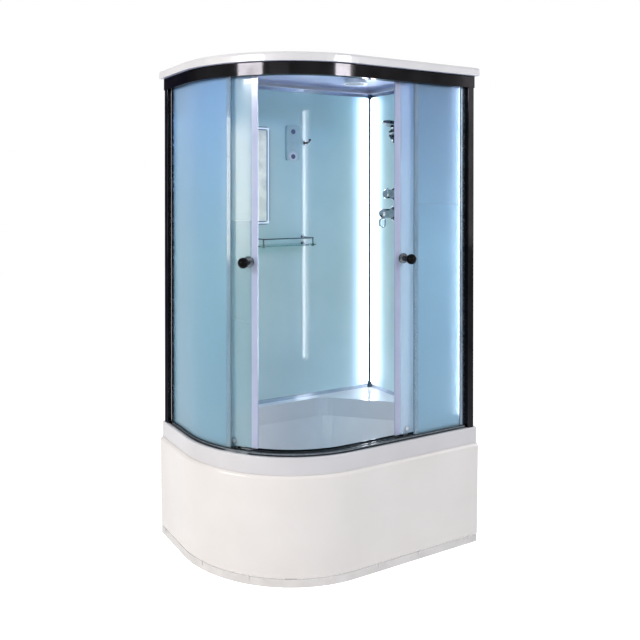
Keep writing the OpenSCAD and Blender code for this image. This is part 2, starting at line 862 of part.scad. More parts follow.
module bottom_rail() {
    lip = running_gap + rail_sheet;
    color("silver") in_cabin() translate([0, 0, rim_top]) {
        linear_extrude(rail_sheet) {
            intersection() {
                band(sill_front, corner_radius - track_inner + rail_sheet / 2);
                before_posts(post_end, post_end);
            }
            track_strip(track_inner - rail_sheet, door_outer);
        }
        linear_extrude(sill_height) intersection() {
            band(sill_front + 6, sill_front + 6 + rail_sheet);
            before_posts(post_end, post_end);
        }
        linear_extrude(rail_sheet + sill_height) intersection() {
            band(glass_inset + glass_thickness + running_gap, glass_inset + glass_thickness + lip);
            before_posts(post_end, post_end);
        }
        linear_extrude(sill_height) track_strip(track_inner - rail_sheet, track_inner);
    }
}

module sill_gasket() {
    color("black") in_cabin() translate([0, 0, rim_top + rail_sheet]) linear_extrude(gasket_height)
        intersection() {
            band(glass_inset - running_gap - gasket_width, glass_inset - running_gap);
            before_posts(post_end, post_end);
        }
}

// Everything on the left of the fixed glass's edge
module left_side(angle) {
    far = 2 * corner_radius;
    translate([arc_x, arc_y]) polygon([[0, 0], far * [cos(angle), sin(angle)], [-far, far], [0, far]]);
}

module left_fixed_glass() {
    edge = 180 + left_glass_angle;
    color("lightblue") in_cabin() translate([0, 0, glass_bottom]) linear_extrude(glass_top - glass_bottom)
        intersection() {
            band(glass_inset, glass_inset + glass_thickness);
            before_posts(0, post_end + channel_wall + 2 * running_gap);
            left_side(edge);
        }
}

module right_fixed_glass() {
    start = post_end + channel_wall + 2 * running_gap;
    color("lightblue") in_cabin() translate([-right_glass_edge, glass_inset - cabin_width, glass_bottom])
        cube([right_glass_edge - start, glass_thickness, glass_top - glass_bottom]);
}

module fixed_glass_edges() {
    r_in = corner_radius - glass_inset - glass_thickness - running_gap - channel_wall;
    wide = glass_thickness + 2 * (running_gap + channel_wall);
    height_z = channel_top - channel_bottom;
    closed = 180 + left_glass_angle + deg_along(channel_wall + running_gap, r_in);
    color("gainsboro") in_cabin() {
        translate([-right_glass_edge - channel_wall - running_gap,
            glass_inset - running_gap - channel_wall - cabin_width, channel_bottom])
            glass_channel(edge_width, height_z);
        translate([arc_x, arc_y, channel_bottom]) difference() {
            arc_block(closed - deg_along(edge_width, r_in), closed, r_in, r_in + wide, height_z);
            translate([0, 0, -1]) arc_block(closed - deg_along(edge_width + over, r_in),
                closed - deg_along(channel_wall, r_in),
                r_in + channel_wall, r_in + wide - channel_wall, height_z + 2);
        }
    }
}

// Block between two plan angles and two radii
module arc_block(a_start, a_end, r_in, r_out, height_z) {
    rotate_extrude(start = a_start, angle = a_end - a_start, $fn = round_facets)
        translate([r_in, 0]) square([r_out - r_in, height_z]);
}

// The holes that a door's brackets and knob need, drawn with +X outward
module door_holes(places, knob_spot, along) {
    for (p = places) place_on(p, along) {
        outward(door_inner - over, hanger_hole_z) cylinder(r = bolt_radius + 1, h = 4 * over);
        outward(door_inner - over, guide_hole_z) cylinder(r = bolt_radius + 1, h = 4 * over);
    }
    place_on(knob_spot, along) outward(door_inner - over, knob_height)
        cylinder(r = bolt_radius + 1, h = 4 * over);
}

// Puts hardware on the round door by its angle, or on the flat door by its distance along X
module place_on(where, along) {
    if (along) on_front(where) children();
    else on_arc(where) children();
}

module left_door_glass() {
    color("lightblue") in_cabin() difference() {
        translate([arc_x, arc_y, door_bottom]) arc_block(left_trail_angle,
            left_lead_angle - deg_along(channel_wall + running_gap, door_outer), door_inner, door_outer,
            door_top - door_bottom);
        door_holes(left_places, left_knob_angle, false);
    }
}

module right_door_glass() {
    lead = channel_wall + running_gap;
    color("lightblue") in_cabin() difference() {
        translate([right_lead_x + lead, door_inset - cabin_width, door_bottom])
            cube([right_door_width - lead, glass_thickness, door_top - door_bottom]);
        door_holes(right_places, right_knob_x, true);
    }
}

module left_door_seal() {
    r_in = door_inner - running_gap - channel_wall;
    r_out = door_outer + running_gap + channel_wall;
    color("lavender") in_cabin() difference() {
        translate([arc_x, arc_y, seal_bottom])
            arc_block(left_lead_angle - deg_along(seal_width, door_outer), left_lead_angle, r_in, r_out,
                seal_top - seal_bottom);
        translate([arc_x, arc_y, seal_bottom - 1])
            arc_block(left_lead_angle - deg_along(seal_width + over, door_outer),
                left_lead_angle - deg_along(channel_wall, door_outer),
                r_in + channel_wall, r_out - channel_wall, seal_top - seal_bottom + 2);
        on_arc(left_knob_angle) collar_room();
    }
}

module right_door_seal() {
    color("lavender") in_cabin() difference() {
        translate([right_lead_x, door_inset - running_gap - channel_wall - cabin_width, seal_bottom])
            glass_channel(seal_width, seal_top - seal_bottom);
        on_front(right_knob_x) collar_room();
    }
}

// Notch in a seal for the collar of its knob
module collar_room() {
    outward(door_inner - over, knob_height)
        cylinder(r = knob_base_radius + running_gap, h = glass_thickness + 2 * over);
}

// Black ball of a knob, with the pocket that screws on the neck
module knob_ball() {
    color("black") in_cabin() children();
}

module ball_shape() {
    outward(door_outer + ball_reach, knob_height) difference() {
        sphere(ball_radius, $fn = 64);
        translate([0, 0, -ball_radius - 1])
            cylinder(r = neck_radius + running_gap, h = ball_radius * 0.8 + 1);
    }
}

module left_knob() {
    knob_ball() on_arc(left_knob_angle) ball_shape();
}

module right_knob() {
    knob_ball() on_front(right_knob_x) ball_shape();
}

// Chrome collar, neck and through bolt of a knob
module base_shape() {
    tip = ball_reach - ball_radius * 0.3;
    outward(door_outer + running_gap, knob_height) {
        cylinder(r = knob_base_radius * 0.72, h = 4, $fn = round_facets);
        translate([0, 0, 4]) cylinder(r = knob_base_radius, h = 5, $fn = round_facets);
        translate([0, 0, 9]) cylinder(r1 = knob_base_radius, r2 = knob_base_radius * 0.55, h = 5,
            $fn = round_facets);
        translate([0, 0, 14]) cylinder(r = neck_radius * 1.5, h = 13);
        translate([0, 0, 14]) cylinder(r = neck_radius, h = tip - 14 - running_gap);
    }
    outward(door_inner - washer - plate_thickness, knob_height) {
        cylinder(r = knob_base_radius * 0.5, h = plate_thickness);
        cylinder(r = bolt_radius, h = plate_thickness + washer + glass_thickness + 1);
    }
}

module left_knob_base() {
    color("silver") in_cabin() on_arc(left_knob_angle) base_shape();
}

module right_knob_base() {
    color("silver") in_cabin() on_front(right_knob_x) base_shape();
}

// Plate, bolt and roller axle of one bracket: hole and axle heights, and the plate's lower and upper end
module bracket(hole_z, axle_z, low_z, high_z, half_width) {
    back = door_inner - washer - plate_thickness;
    translate([back, -half_width, low_z]) rotate([90, 0, 90]) linear_extrude(plate_thickness)
        rounded_square([2 * half_width, high_z - low_z], plate_round);
    outward(back, hole_z)
        cylinder(r = bolt_radius, h = plate_thickness + washer + glass_thickness + 1);
    outward(door_outer + running_gap, hole_z) cylinder(r = bolt_radius * 2, h = 3);
    outward(roller_back - 1.2, axle_z) cylinder(r = axle_radius, h = back - roller_back + 1.2);
    outward(roller_face + 0.5, axle_z)
        cylinder(r = axle_radius + 1.5, h = back - roller_face - 0.5);
    outward(roller_back - 1.5, axle_z) cylinder(r = axle_radius + 1.5, h = 1);
}

module brackets(places, along) {
    for (p = places) place_on(p, along) {
        bracket(hanger_hole_z, top_axle_z, hanger_hole_z - 14, top_axle_z + 8, 16);
        bracket(guide_hole_z, low_axle_z, low_axle_z - 5, guide_hole_z + 12, 14);
    }
}

module left_door_brackets() {
    color("gray") in_cabin() brackets(left_places, false);
}

module right_door_brackets() {
    color("gray") in_cabin() brackets(right_places, true);
}

// Nylon roller on its axle
module roller(radius, axle_z) {
    outward(roller_back, axle_z) difference() {
        cylinder(r = radius, h = roller_width, $fn = round_facets);
        translate([0, 0, -1]) cylinder(r = axle_radius + bore_gap, h = roller_width + 2);
        for (z = [-1, roller_width - 1]) translate([0, 0, z]) difference() {
            cylinder(r = radius - 2, h = 2);
            translate([0, 0, -1]) cylinder(r = axle_radius + 2, h = 4);
        }
    }
}

module left_top_roller_front() {
    color("dimgray") in_cabin() on_arc(left_places[0]) roller(top_roller_radius, top_axle_z);
}

module left_top_roller_rear() {
    color("dimgray") in_cabin() on_arc(left_places[1]) roller(top_roller_radius, top_axle_z);
}

module right_top_roller_front() {
    color("dimgray") in_cabin() on_front(right_places[0]) roller(top_roller_radius, top_axle_z);
}

module right_top_roller_rear() {
    color("dimgray") in_cabin() on_front(right_places[1]) roller(top_roller_radius, top_axle_z);
}

module left_low_roller_front() {
    color("dimgray") in_cabin() on_arc(left_places[0]) roller(low_roller_radius, low_axle_z);
}

module left_low_roller_rear() {
    color("dimgray") in_cabin() on_arc(left_places[1]) roller(low_roller_radius, low_axle_z);
}

module right_low_roller_front() {
    color("dimgray") in_cabin() on_front(right_places[0]) roller(low_roller_radius, low_axle_z);
}

module right_low_roller_rear() {
    color("dimgray") in_cabin() on_front(right_places[1]) roller(low_roller_radius, low_axle_z);
}

// Solid outline of the roof, let in by a wall thickness for its hollow
module roof_form(wall) {
    edge = roof_rim * 0.3;
    layers = [[-1, 0], [roof_rim - edge, 0], [roof_rim - edge * 0.3, edge * 0.3], [roof_rim, edge],
        [cabin_height - roof_bottom, roof_border]];
    hull() for (layer = layers)
        translate([0, 0, roof_bottom + max(layer[0] - wall, wall > 0 ? -1 : 0)])
        linear_extrude(0.01) plan(layer[1] + wall - roof_overhang, -wall - layer[1] * 0.6);
}

module roof_shell() {
    color("gainsboro") in_cabin() difference() {
        union() {
            difference() {
                roof_form(0);
                roof_form(roof_wall);
            }
            translate([0, 0, roof_bottom]) linear_extrude(roof_wall) difference() {
                plan(0);
                intersection() {
                    plan(post_inner);
                    before_posts(post_end, post_end);
                }
            }
        }
        translate([rain_x, rain_y, roof_bottom])
            cylinder(r = rain_neck + running_gap, h = roof_rim + 2 * over);
        translate([fan_x, fan_y, roof_bottom])
            cylinder(r = fan_radius - 4, h = roof_rim + 2 * over, $fn = round_facets);
    }
}

module rain_head() {
    top = cabin_height - roof_wall;
    color("silver") in_cabin() translate([rain_x, rain_y, 0]) difference() {
        union() {
            translate([0, 0, top - 22]) cylinder(r = rain_head_radius, h = 8, $fn = round_facets);
            translate([0, 0, top - 14])
                cylinder(r1 = rain_head_radius, r2 = rain_neck + 8, h = 9, $fn = round_facets);
            translate([0, 0, top - 6]) cylinder(r = rain_neck + 6, h = 5.7);
            translate([0, 0, top - 6]) cylinder(r = rain_neck, h = roof_wall + 6);
        }
        for (ring = [[30, 8], [60, 14], [90, 20]]) for (i = [1 : ring[1]])
            rotate([0, 0, i * 360 / ring[1]]) translate([ring[0] * rain_head_radius / 110, 0, top - 23])
                cylinder(r = 1.6, h = 4, $fn = 16);
        translate([0, 0, top - 12]) cylinder(r = rain_neck - 3, h = 30);
    }
}

module fan_housing() {
    top = cabin_height - roof_wall;
    color("white") in_cabin() translate([fan_x, fan_y, top - fan_depth]) {
        difference() {
            union() {
                cylinder(r = fan_radius + 10, h = 3, $fn = round_facets);
                cylinder(r = fan_radius, h = fan_depth - running_gap, $fn = round_facets);
            }
            translate([0, 0, -1]) cylinder(r = fan_radius - 3, h = fan_depth + 2, $fn = round_facets);
        }
        for (i = [0 : 5]) rotate([0, 0, i * 30]) translate([-fan_radius + 2, -1.2, 0])
            cube([2 * fan_radius - 4, 2.4, 2.5]);
        for (r = [fan_radius * 0.35, fan_radius * 0.68]) linear_extrude(2.5) difference() {
            circle(r + 1.2, $fn = round_facets);
            circle(r - 1.2, $fn = round_facets);
        }
        cylinder(r = axle_radius, h = fan_depth - 3);
    }
}

module fan_rotor() {
    top = cabin_height - roof_wall;
    hub = fan_radius * 0.28;
    color("dimgray") in_cabin() translate([fan_x, fan_y, top - fan_depth + 4]) difference() {
        union() {
            cylinder(r = hub, h = rotor_height);
            for (i = [0 : 6]) rotate([0, 0, i * 360 / 7]) translate([hub - 2, 0, rotor_height / 2])
                rotate([35, 0, 0]) translate([0, -7, -1]) cube([fan_radius - 6 - hub, 14, 2]);
        }
        translate([0, 0, -1]) cylinder(r = axle_radius + bore_gap, h = rotor_height + 2);
    }
}

module plate_outline(width, height_z, r) {
    translate([-width / 2, -height_z / 2]) rounded_square([width, height_z], r);
}

module mirror_glass() {
    color("lightsteelblue") in_cabin() on_back(mirror_middle, mirror_middle_z)
        linear_extrude(mirror_thickness) plate_outline(mirror_width - 2 * (frame_border + running_gap),
            mirror_height - 2 * (frame_border + running_gap), frame_border);
}

module mirror_frame() {
    color("lavender") in_cabin() on_back(mirror_middle, mirror_middle_z)
        linear_extrude(mirror_thickness * 2) difference() {
            plate_outline(mirror_width, mirror_height, frame_border * 2);
            plate_outline(mirror_width - 2 * frame_border, mirror_height - 2 * frame_border, frame_border);
        }
}

module control_panel() {
    color("whitesmoke") in_cabin() on_back(panel_middle, panel_middle_z) difference() {
        union() {
            linear_extrude(panel_depth - 1.5) plate_outline(panel_width, panel_height, 10);
            linear_extrude(panel_depth) plate_outline(panel_width - 8, panel_height - 8, 8);
        }
        for (y = [-power_drop, mode_rise]) translate([0, y, 3])
            cylinder(r = button_radius + bore_gap, h = panel_depth);
        translate([-display_width / 2, -display_height / 2, panel_depth - 0.8])
            cube([display_width, display_height, 2]);
        for (i = [-1 : 1]) translate([i * 14, -display_height / 2 - 8, panel_depth - 0.6])
            cylinder(r = 1.5, h = 2, $fn = 16);
        translate([0, 0, -1]) cylinder(r = cable_hole - 1, h = 5);
    }
}

// Button of the control panel, standing a little out of its pocket
module button(offset_y) {
    height_z = panel_depth - 3 - button_travel - 1 + button_proud;
    color("white") in_cabin() on_back(panel_middle, panel_middle_z)
        translate([0, offset_y, panel_depth + button_proud - height_z]) difference() {
            cylinder(r = button_radius, h = height_z);
            translate([0, 0, height_z - 0.4]) cylinder(r = button_radius * 0.7, h = 1);
        }
}

module power_button() {
    button(-power_drop);
}

module mode_button() {
    button(mode_rise);
}

module shelf_glass() {
    r = 24;
    color("lightcyan") in_cabin()
        translate([-shelf_place - shelf_length, -wall_face - shelf_depth, shelf_z]) difference() {
            linear_extrude(shelf_thickness) {
                translate([r, 0]) square([shelf_length - 2 * r, shelf_depth - shelf_back_gap]);
                translate([0, r]) square([shelf_length, shelf_depth - r - shelf_back_gap]);
                for (x = [r, shelf_length - r]) translate([x, r]) circle(r);
            }
            for (x = [shelf_post_inset, shelf_length - shelf_post_inset])
                translate([x, shelf_rail_front, -1])
                    cylinder(r = rail_rod + running_gap, h = shelf_thickness + 2);
        }
}

// Rod between two points on one axis
module rod(from, axis_turn, length, r) {
    translate(from) rotate(axis_turn) cylinder(r = r, h = length);
}

module shelf_rail() {
    rail_z = shelf_z + shelf_rail_rise;
    front_y = -wall_face - shelf_depth + shelf_rail_front;
    left_x = -shelf_place - shelf_length + shelf_post_inset;
    length = shelf_length - 2 * shelf_post_inset;
    color("silver") in_cabin() {
        rod([left_x, front_y, rail_z], [0, 90, 0], length, rail_rod);
        for (x = [left_x, left_x + length]) {
            translate([x, front_y, rail_z]) sphere(rail_rod + 1, $fn = 32);
            rod([x, front_y, rail_z], [-90, 0, 0], -front_y - wall_face, rail_rod);
            rod([x, -wall_face, rail_z], [90, 0, 0], 4, 11);
            rod([x, front_y, shelf_z - 4], [0, 0, 0], shelf_rail_rise + 4, rail_rod);
            rod([x, front_y, shelf_z - 4], [0, 0, 0], 4 - running_gap, 7);
            rod([x, front_y, shelf_z + shelf_thickness + running_gap], [0, 0, 0], 4, 6);
            translate([x - 10, -wall_face - 16, shelf_z - 8]) difference() {
                cube([20, 16, shelf_thickness + 14]);
                translate([-1, -1, 8 - running_gap])
                    cube([22, 17 - shelf_back_gap + running_gap, shelf_thickness + 2 * running_gap]);
            }
        }
    }
}

module robe_hook() {
    color("silver") in_cabin() on_back(hook_place, hook_z) {
        cylinder(r = 14, h = 5);
        cylinder(r = 5, h = 34);
        translate([0, 0, 30]) rotate([-50, 0, 0]) {
            cylinder(r = 4.5, h = 16);
            translate([0, 0, 16]) sphere(7, $fn = 40);
        }
    }
}

// Wall disc of the hand shower, with the hose nipple under it and the pin that its bracket turns on
module hose_outlet() {
    color("silver") in_cabin() on_side(bracket_place, bracket_z) {
        translate([0, 0, -wall_face + 8]) cylinder(r = outlet_pipe_radius, h = wall_face);
        cylinder(r = bracket_radius, h = 8, $fn = round_facets);
        translate([0, 0, 8])
            cylinder(r1 = bracket_radius, r2 = bracket_radius - 5, h = 4, $fn = round_facets);
        translate([-7, -swivel_height / 2 - 6, 11]) cube([14, 6 - running_gap, swivel_reach - 11]);
        translate([-7, swivel_height / 2 + running_gap, 11]) cube([14, 6, swivel_reach - 11]);
        translate([0, -swivel_height / 2 - 6, swivel_reach]) rotate([-90, 0, 0]) {
            cylinder(r = 7, h = 6 - running_gap);
            cylinder(r = swivel_pin, h = swivel_height + 12);
            translate([0, 0, swivel_height + 6 + running_gap]) cylinder(r = 7, h = 6);
        }
        translate([0, 4 - bracket_radius, 6]) rotate([90, 0, 0]) cylinder(r = 5.5, h = 14);
    }
}

module hand_shower_bracket() {
    color("silver") in_cabin() translate([swivel_x, swivel_y, bracket_z]) difference() {
        union() {
            translate([0, 0, -swivel_height / 2]) cylinder(r = 7, h = swivel_height);
            rotate([0, 0, cup_turn]) translate([0, -5, -6]) cube([cup_arm, 10, 12]);
            translate([cup_x - swivel_x, cup_y - swivel_y, -cup_height / 2])
                cylinder(r = handle_radius + 5, h = cup_height);
        }
        translate([0, 0, -swivel_height]) cylinder(r = swivel_pin + bore_gap, h = 2 * swivel_height);
        translate([cup_x - swivel_x, cup_y - swivel_y, -cup_height])
            cylinder(r = handle_radius + bore_gap, h = 2 * cup_height);
    }
}

module hand_shower() {
    low = bracket_z - cup_height / 2 - handle_drop;
    collar = bracket_z + cup_height / 2 + running_gap;
    color("silver") in_cabin() translate([cup_x, cup_y, 0]) {
        translate([0, 0, low]) cylinder(r = handle_radius, h = collar - low + 20);
        translate([0, 0, low - 14]) cylinder(r = handle_radius * 0.72, h = 14);
        translate([0, 0, collar]) cylinder(r = handle_radius + 3, h = 8);
        translate([0, 0, collar + 8]) cylinder(r1 = handle_radius + 3, r2 = handle_radius, h = 12);
        translate([0, 0, collar + 12]) rotate([0, -72, 0])
            cylinder(r1 = handle_radius - 2, r2 = handle_radius + 1, h = 36);
        translate([-spray_radius - 3, 0, collar + 20]) rotate([0, 15, 0]) {
            cylinder(r = spray_radius, h = 10, $fn = round_facets);
            translate([0, 0, 10])
                cylinder(r1 = spray_radius, r2 = spray_radius - 12, h = 7, $fn = round_facets);
            translate([0, 0, -1.5]) cylinder(r = spray_radius - 6, h = 2, $fn = round_facets);
        }
    }
}

// Brass valve behind the short wall: two inlets at its back, two spindles through the panel
module mixer_valve() {
    low_z = mixer_height - inlet_drop;
    high_z = mixer_height + mixer_spacing + 36;
    pipe_x = valve_axis_x - supply_setback;
    inlet_start = pipe_x - supply_radius - 0.5;
    color("goldenrod") in_cabin() translate([0, -mixer_place, 0]) {
        translate([valve_axis_x, 0, low_z - 12]) cylinder(r = valve_radius, h = high_z - low_z + 12);
        translate([pipe_x, -inlet_spacing / 2, low_z]) rotate([-90, 0, 0])
            cylinder(r = supply_radius, h = inlet_spacing);
        for (y = [-inlet_spacing / 2, inlet_spacing / 2])
            translate([inlet_start, y, low_z]) rotate([0, 90, 0]) {
            cylinder(r = inlet_radius + 2, h = -inlet_tip - inlet_length - inlet_start);
            cylinder(r = inlet_radius, h = -inlet_tip - inlet_start);
        }
        for (z = [mixer_height, mixer_height + mixer_spacing])
            translate([valve_axis_x, 0, z]) rotate([0, -90, 0]) {
                cylinder(r = cartridge_radius, h = wall_face + valve_axis_x + plate_rise);
                cylinder(r = spindle_radius, h = wall_face + valve_axis_x + spindle_reach);
            }
    }
}

module mixer_plates() {
    color("silver") in_cabin() {
        on_side(mixer_place, mixer_height) wall_plate(cap_plate_radius);
        on_side(mixer_place, mixer_height + mixer_spacing) wall_plate(diverter_plate_radius);
    }
}

// Stepped cover plate round a cartridge
module wall_plate(radius) {
    difference() {
        union() {
            cylinder(r = radius, h = 4, $fn = round_facets);
            translate([0, 0, 4]) cylinder(r1 = radius, r2 = radius - 3, h = 2, $fn = round_facets);
            cylinder(r = radius * 0.68, h = plate_rise, $fn = round_facets);
        }
        translate([0, 0, -1]) cylinder(r = cartridge_radius + running_gap, h = plate_rise + 2);
    }
}

module diverter_knob() {
    start = plate_rise + running_gap + 0.4;
    color("silver") in_cabin() on_side(mixer_place, mixer_height + mixer_spacing) difference() {
        union() {
            translate([0, 0, start])
                cylinder(r = knob_radius, h = knob_reach - start - 4, $fn = round_facets);
            translate([0, 0, knob_reach - 4])
                cylinder(r1 = knob_radius, r2 = knob_radius - 4, h = 4, $fn = round_facets);
            translate([0, knob_radius - 3, knob_reach - 16]) rotate([-90, 0, 0]) cylinder(r = 2.5, h = 12);
        }
        translate([0, 0, -1]) cylinder(r = spindle_radius + bore_gap, h = spindle_reach + 2);
    }
}

module mixer_cap() {
    start = plate_rise + running_gap + 0.4;
    slot_y = -cap_radius - 1;
    color("silver") in_cabin() on_side(mixer_place, mixer_height) difference() {
        union() {
            translate([0, 0, start]) cylinder(r = cap_radius, h = cap_reach - start - 8, $fn = round_facets);
            translate([0, 0, cap_reach - 8]) cylinder(r1 = cap_radius, r2 = cap_radius - 7, h = 8,
                $fn = round_facets);
        }
        translate([0, 0, -1]) cylinder(r = spindle_radius + bore_gap, h = spindle_reach + 2);
        difference() {
            translate([-lever_width / 2 - 0.5, slot_y, lever_reach - 12])
                cube([lever_width + 1, 17, lever_reach]);
            translate([-over, lever_pin_y, lever_reach]) rotate([0, 90, 0])
                cylinder(r = lever_pin, h = 2 * over);
        }
    }
}

// Loop lever that hangs from the cap on a cross pin, with its loop square to the wall
module mixer_lever() {
    loop_top = lever_loop_y + loop_straight / 2 + loop_inner + 1;
    color("silver") in_cabin() on_side(mixer_place, mixer_height) translate([0, 0, lever_reach])
        difference() {
            union() {
                translate([0, 0, -lever_thickness / 2]) linear_extrude(lever_thickness) {
                    translate([-lever_width / 2, loop_top]) square([lever_width, lever_pin_y - loop_top]);
                    translate([0, lever_pin_y]) circle(lever_width / 2);
                }
                translate([-lever_thickness / 2, 0, 0]) rotate([0, 90, 0]) linear_extrude(lever_thickness)
                    difference() {
                        stadium(loop_outer);
                        stadium(loop_inner);
                    }
            }
            translate([-over, lever_pin_y, 0]) rotate([0, 90, 0])
                cylinder(r = lever_pin + bore_gap, h = 2 * over);
        }
}

// Long round outline of the lever's loop
module stadium(r) {
    translate([0, lever_loop_y]) {
        for (y = [-loop_straight / 2, loop_straight / 2]) translate([0, y]) circle(r);
        translate([-r, -loop_straight / 2]) square([2 * r, loop_straight]);
    }
}

tray_basin();
tray_apron();
apron_plinth();
apron_clips();
tray_frame();
levelling_feet();
waste_strainer();
waste_trap();
back_wall_panel();
side_wall_panel();
corner_profile();
wall_rails();
left_post();
right_post();
glazing_profiles();
light_strips();
header_rail();
bottom_rail();
sill_gasket();
left_fixed_glass();
right_fixed_glass();
fixed_glass_edges();
left_door_glass();
right_door_glass();
left_door_seal();
right_door_seal();
left_knob();
right_knob();
left_knob_base();
right_knob_base();
left_door_brackets();
right_door_brackets();
left_top_roller_front();
left_top_roller_rear();
right_top_roller_front();
right_top_roller_rear();
left_low_roller_front();
left_low_roller_rear();
right_low_roller_front();
right_low_roller_rear();
roof_shell();
rain_head();
fan_housing();
fan_rotor();
mirror_glass();
mirror_frame();
control_panel();
power_button();
mode_button();
shelf_glass();
shelf_rail();
robe_hook();
hand_shower_bracket();
hand_shower();
mixer_valve();
mixer_plates();
diverter_knob();
mixer_cap();
mixer_lever();
hose_outlet();
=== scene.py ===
import math

import bmesh
import bpy
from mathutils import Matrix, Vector


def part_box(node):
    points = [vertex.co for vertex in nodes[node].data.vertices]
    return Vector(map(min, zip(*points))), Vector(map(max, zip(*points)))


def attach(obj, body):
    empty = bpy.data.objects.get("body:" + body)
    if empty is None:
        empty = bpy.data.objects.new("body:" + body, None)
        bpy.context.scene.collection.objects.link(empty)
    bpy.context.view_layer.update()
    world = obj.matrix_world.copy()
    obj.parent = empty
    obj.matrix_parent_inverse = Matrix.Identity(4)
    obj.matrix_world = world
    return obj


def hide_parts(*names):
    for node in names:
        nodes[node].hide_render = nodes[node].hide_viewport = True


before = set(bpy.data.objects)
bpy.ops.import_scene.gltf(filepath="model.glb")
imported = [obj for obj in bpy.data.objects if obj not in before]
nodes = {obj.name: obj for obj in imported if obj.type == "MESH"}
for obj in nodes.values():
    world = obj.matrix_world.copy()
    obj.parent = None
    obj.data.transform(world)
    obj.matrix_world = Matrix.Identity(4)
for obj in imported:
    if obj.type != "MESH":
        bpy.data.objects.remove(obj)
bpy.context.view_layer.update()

MM = 0.001
scene = bpy.context.scene
scene.view_settings.view_transform = "Standard"


# Colours and nodes

def linear(code):
    """Linear RGBA of an sRGB hex colour."""
    parts = [int(code[i:i + 2], 16) / 255 for i in (1, 3, 5)]
    return tuple(p / 12.92 if p <= 0.04045 else ((p + 0.055) / 1.055) ** 2.4 for p in parts) + (1.0,)


def add(tree, kind, inputs=None, stops=(), **settings):
    """Adds one shader node.

    inputs maps a socket to a value, or to the output that feeds it. stops fill a colour ramp.
    """
    made = tree.nodes.new(kind)
    for key, value in settings.items():
        setattr(made, key, value)
    for key, value in (inputs or {}).items():
        if isinstance(value, bpy.types.NodeSocket):
            tree.links.new(value, made.inputs[key])
        else:
            made.inputs[key].default_value = value
    for number, (position, code) in enumerate(stops):
        elements = made.color_ramp.elements
        element = elements[number] if number < len(elements) else elements.new(position)
        element.position = position
        element.color = linear(code)
    return made


def new_material(name):
    """Empty node material with its tree and its output node."""
    material = bpy.data.materials.new(name)
    material.use_nodes = True
    material.node_tree.nodes.clear()
    tree = material.node_tree
    return material, tree, add(tree, "ShaderNodeOutputMaterial")


def per_metre(size_mm):
    """Texture scale at which one feature of the pattern is about size_mm across."""
    return 1000 / size_mm


def grey(value):
    """Hex code of a plain grey from 0 to 1, for ramps that drive roughness or height."""
    level = round(255 * (12.92 * value if value <= 0.0031308 else 1.055 * value ** (1 / 2.4) - 0.055))
    return "#" + f"{level:02X}" * 3


def surface(name, stops, drift_mm=40.0, rough=(0.2, 0.3), rough_mm=25.0, bump_mm=0.0, bump_size_mm=6.0,
            **sockets):
    """Principled surface with a slow colour drift, an uneven gloss and, if asked, a fine bump."""
    material, tree, out = new_material(name)
    place = add(tree, "ShaderNodeTexCoord").outputs["Object"]
    drift = add(tree, "ShaderNodeTexNoise", {"Vector": place, "Scale": per_metre(drift_mm), "Detail": 3.0})
    tone = add(tree, "ShaderNodeValToRGB", {"Fac": drift.outputs[0]}, stops)
    wipe = add(tree, "ShaderNodeTexNoise", {"Vector": place, "Scale": per_metre(rough_mm), "Detail": 3.0})
    gloss_stops = [(0.35, grey(rough[0])), (0.65, grey(rough[1]))]
    gloss = add(tree, "ShaderNodeValToRGB", {"Fac": wipe.outputs[0]}, gloss_stops)
    inputs = {"Base Color": tone.outputs[0], "Roughness": gloss.outputs[0]}
    if bump_mm:
        scale = per_metre(bump_size_mm)
        peel = add(tree, "ShaderNodeTexNoise", {"Vector": place, "Scale": scale, "Detail": 2.0})
        inputs["Normal"] = add(tree, "ShaderNodeBump", {
            "Height": peel.outputs[0], "Distance": bump_mm * MM, "Strength": 1.0}).outputs[0]
    inputs.update({key.replace("_", " "): value for key, value in sockets.items()})
    shader = add(tree, "ShaderNodeBsdfPrincipled", inputs)
    tree.links.new(shader.outputs[0], out.inputs["Surface"])
    return material


def clear_to_shadows(tree, shader, tint):
    """Lets lamplight pass the glass in its tint, so that what stands behind isn't left in the dark."""
    passed = add(tree, "ShaderNodeBsdfTransparent", {"Color": tint})
    is_shadow = add(tree, "ShaderNodeLightPath").outputs["Is Shadow Ray"]
    return add(tree, "ShaderNodeMixShader", {0: is_shadow, 1: shader, 2: passed.outputs[0]}).outputs[0]


def middle(name):
    """Middle of a CAD node's box."""
    low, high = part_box(name)
    return (Vector(low) + Vector(high)) / 2


# Places that the materials measure from

WALL_LOW, WALL_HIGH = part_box("back_wall_panel")
GLASS_LOW, GLASS_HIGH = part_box("left_fixed_glass")
# Inner corner of the cabin, in plan
CORNER_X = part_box("side_wall_panel")[0][0]
CORNER_Y = WALL_LOW[1]
# From the inner corner to the middle of the light strip on either side of it
STRIP_MIDDLE = 33 * MM
# Middle of the single strip at the front of the side wall
SINGLE_STRIP_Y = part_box("light_strips")[0][1] + 10 * MM
# Painted light on the walls beside the strips: where it starts to fade, and where it ends
CORNER_GLOW = (17 * MM, 105 * MM)
SINGLE_GLOW = (28 * MM, 66 * MM)
# Strengths of that painted light
SINGLE_GLOW_STRENGTH = 3.6
CORNER_GLOW_STRENGTH = 0.85
# Ground border of the mirror and of its backing
MIRROR_BORDER = 20 * MM
BEVEL_BORDER = 12 * MM
# Pink bloom round the power button
BLOOM = (12 * MM, 34 * MM)

GLASS_IOR = 1.52
ACRYLIC_IOR = 1.49
ABS_IOR = 1.53


# Materials

# Cast acrylic sheet, vacuum formed and polished: deep wet gloss over a faint orange peel, greyer than the
# same sheet in the apron as painted shade under the glass
tray_acrylic = surface(
    "formed_acrylic_tray", [(0.3, "#C6C4C8"), (0.7, "#CECCD0")], drift_mm=260.0,
    rough=(0.10, 0.18), rough_mm=120.0, bump_mm=0.05, bump_size_mm=22.0,
    IOR=ACRYLIC_IOR, Coat_Weight=0.5, Coat_Roughness=0.04)

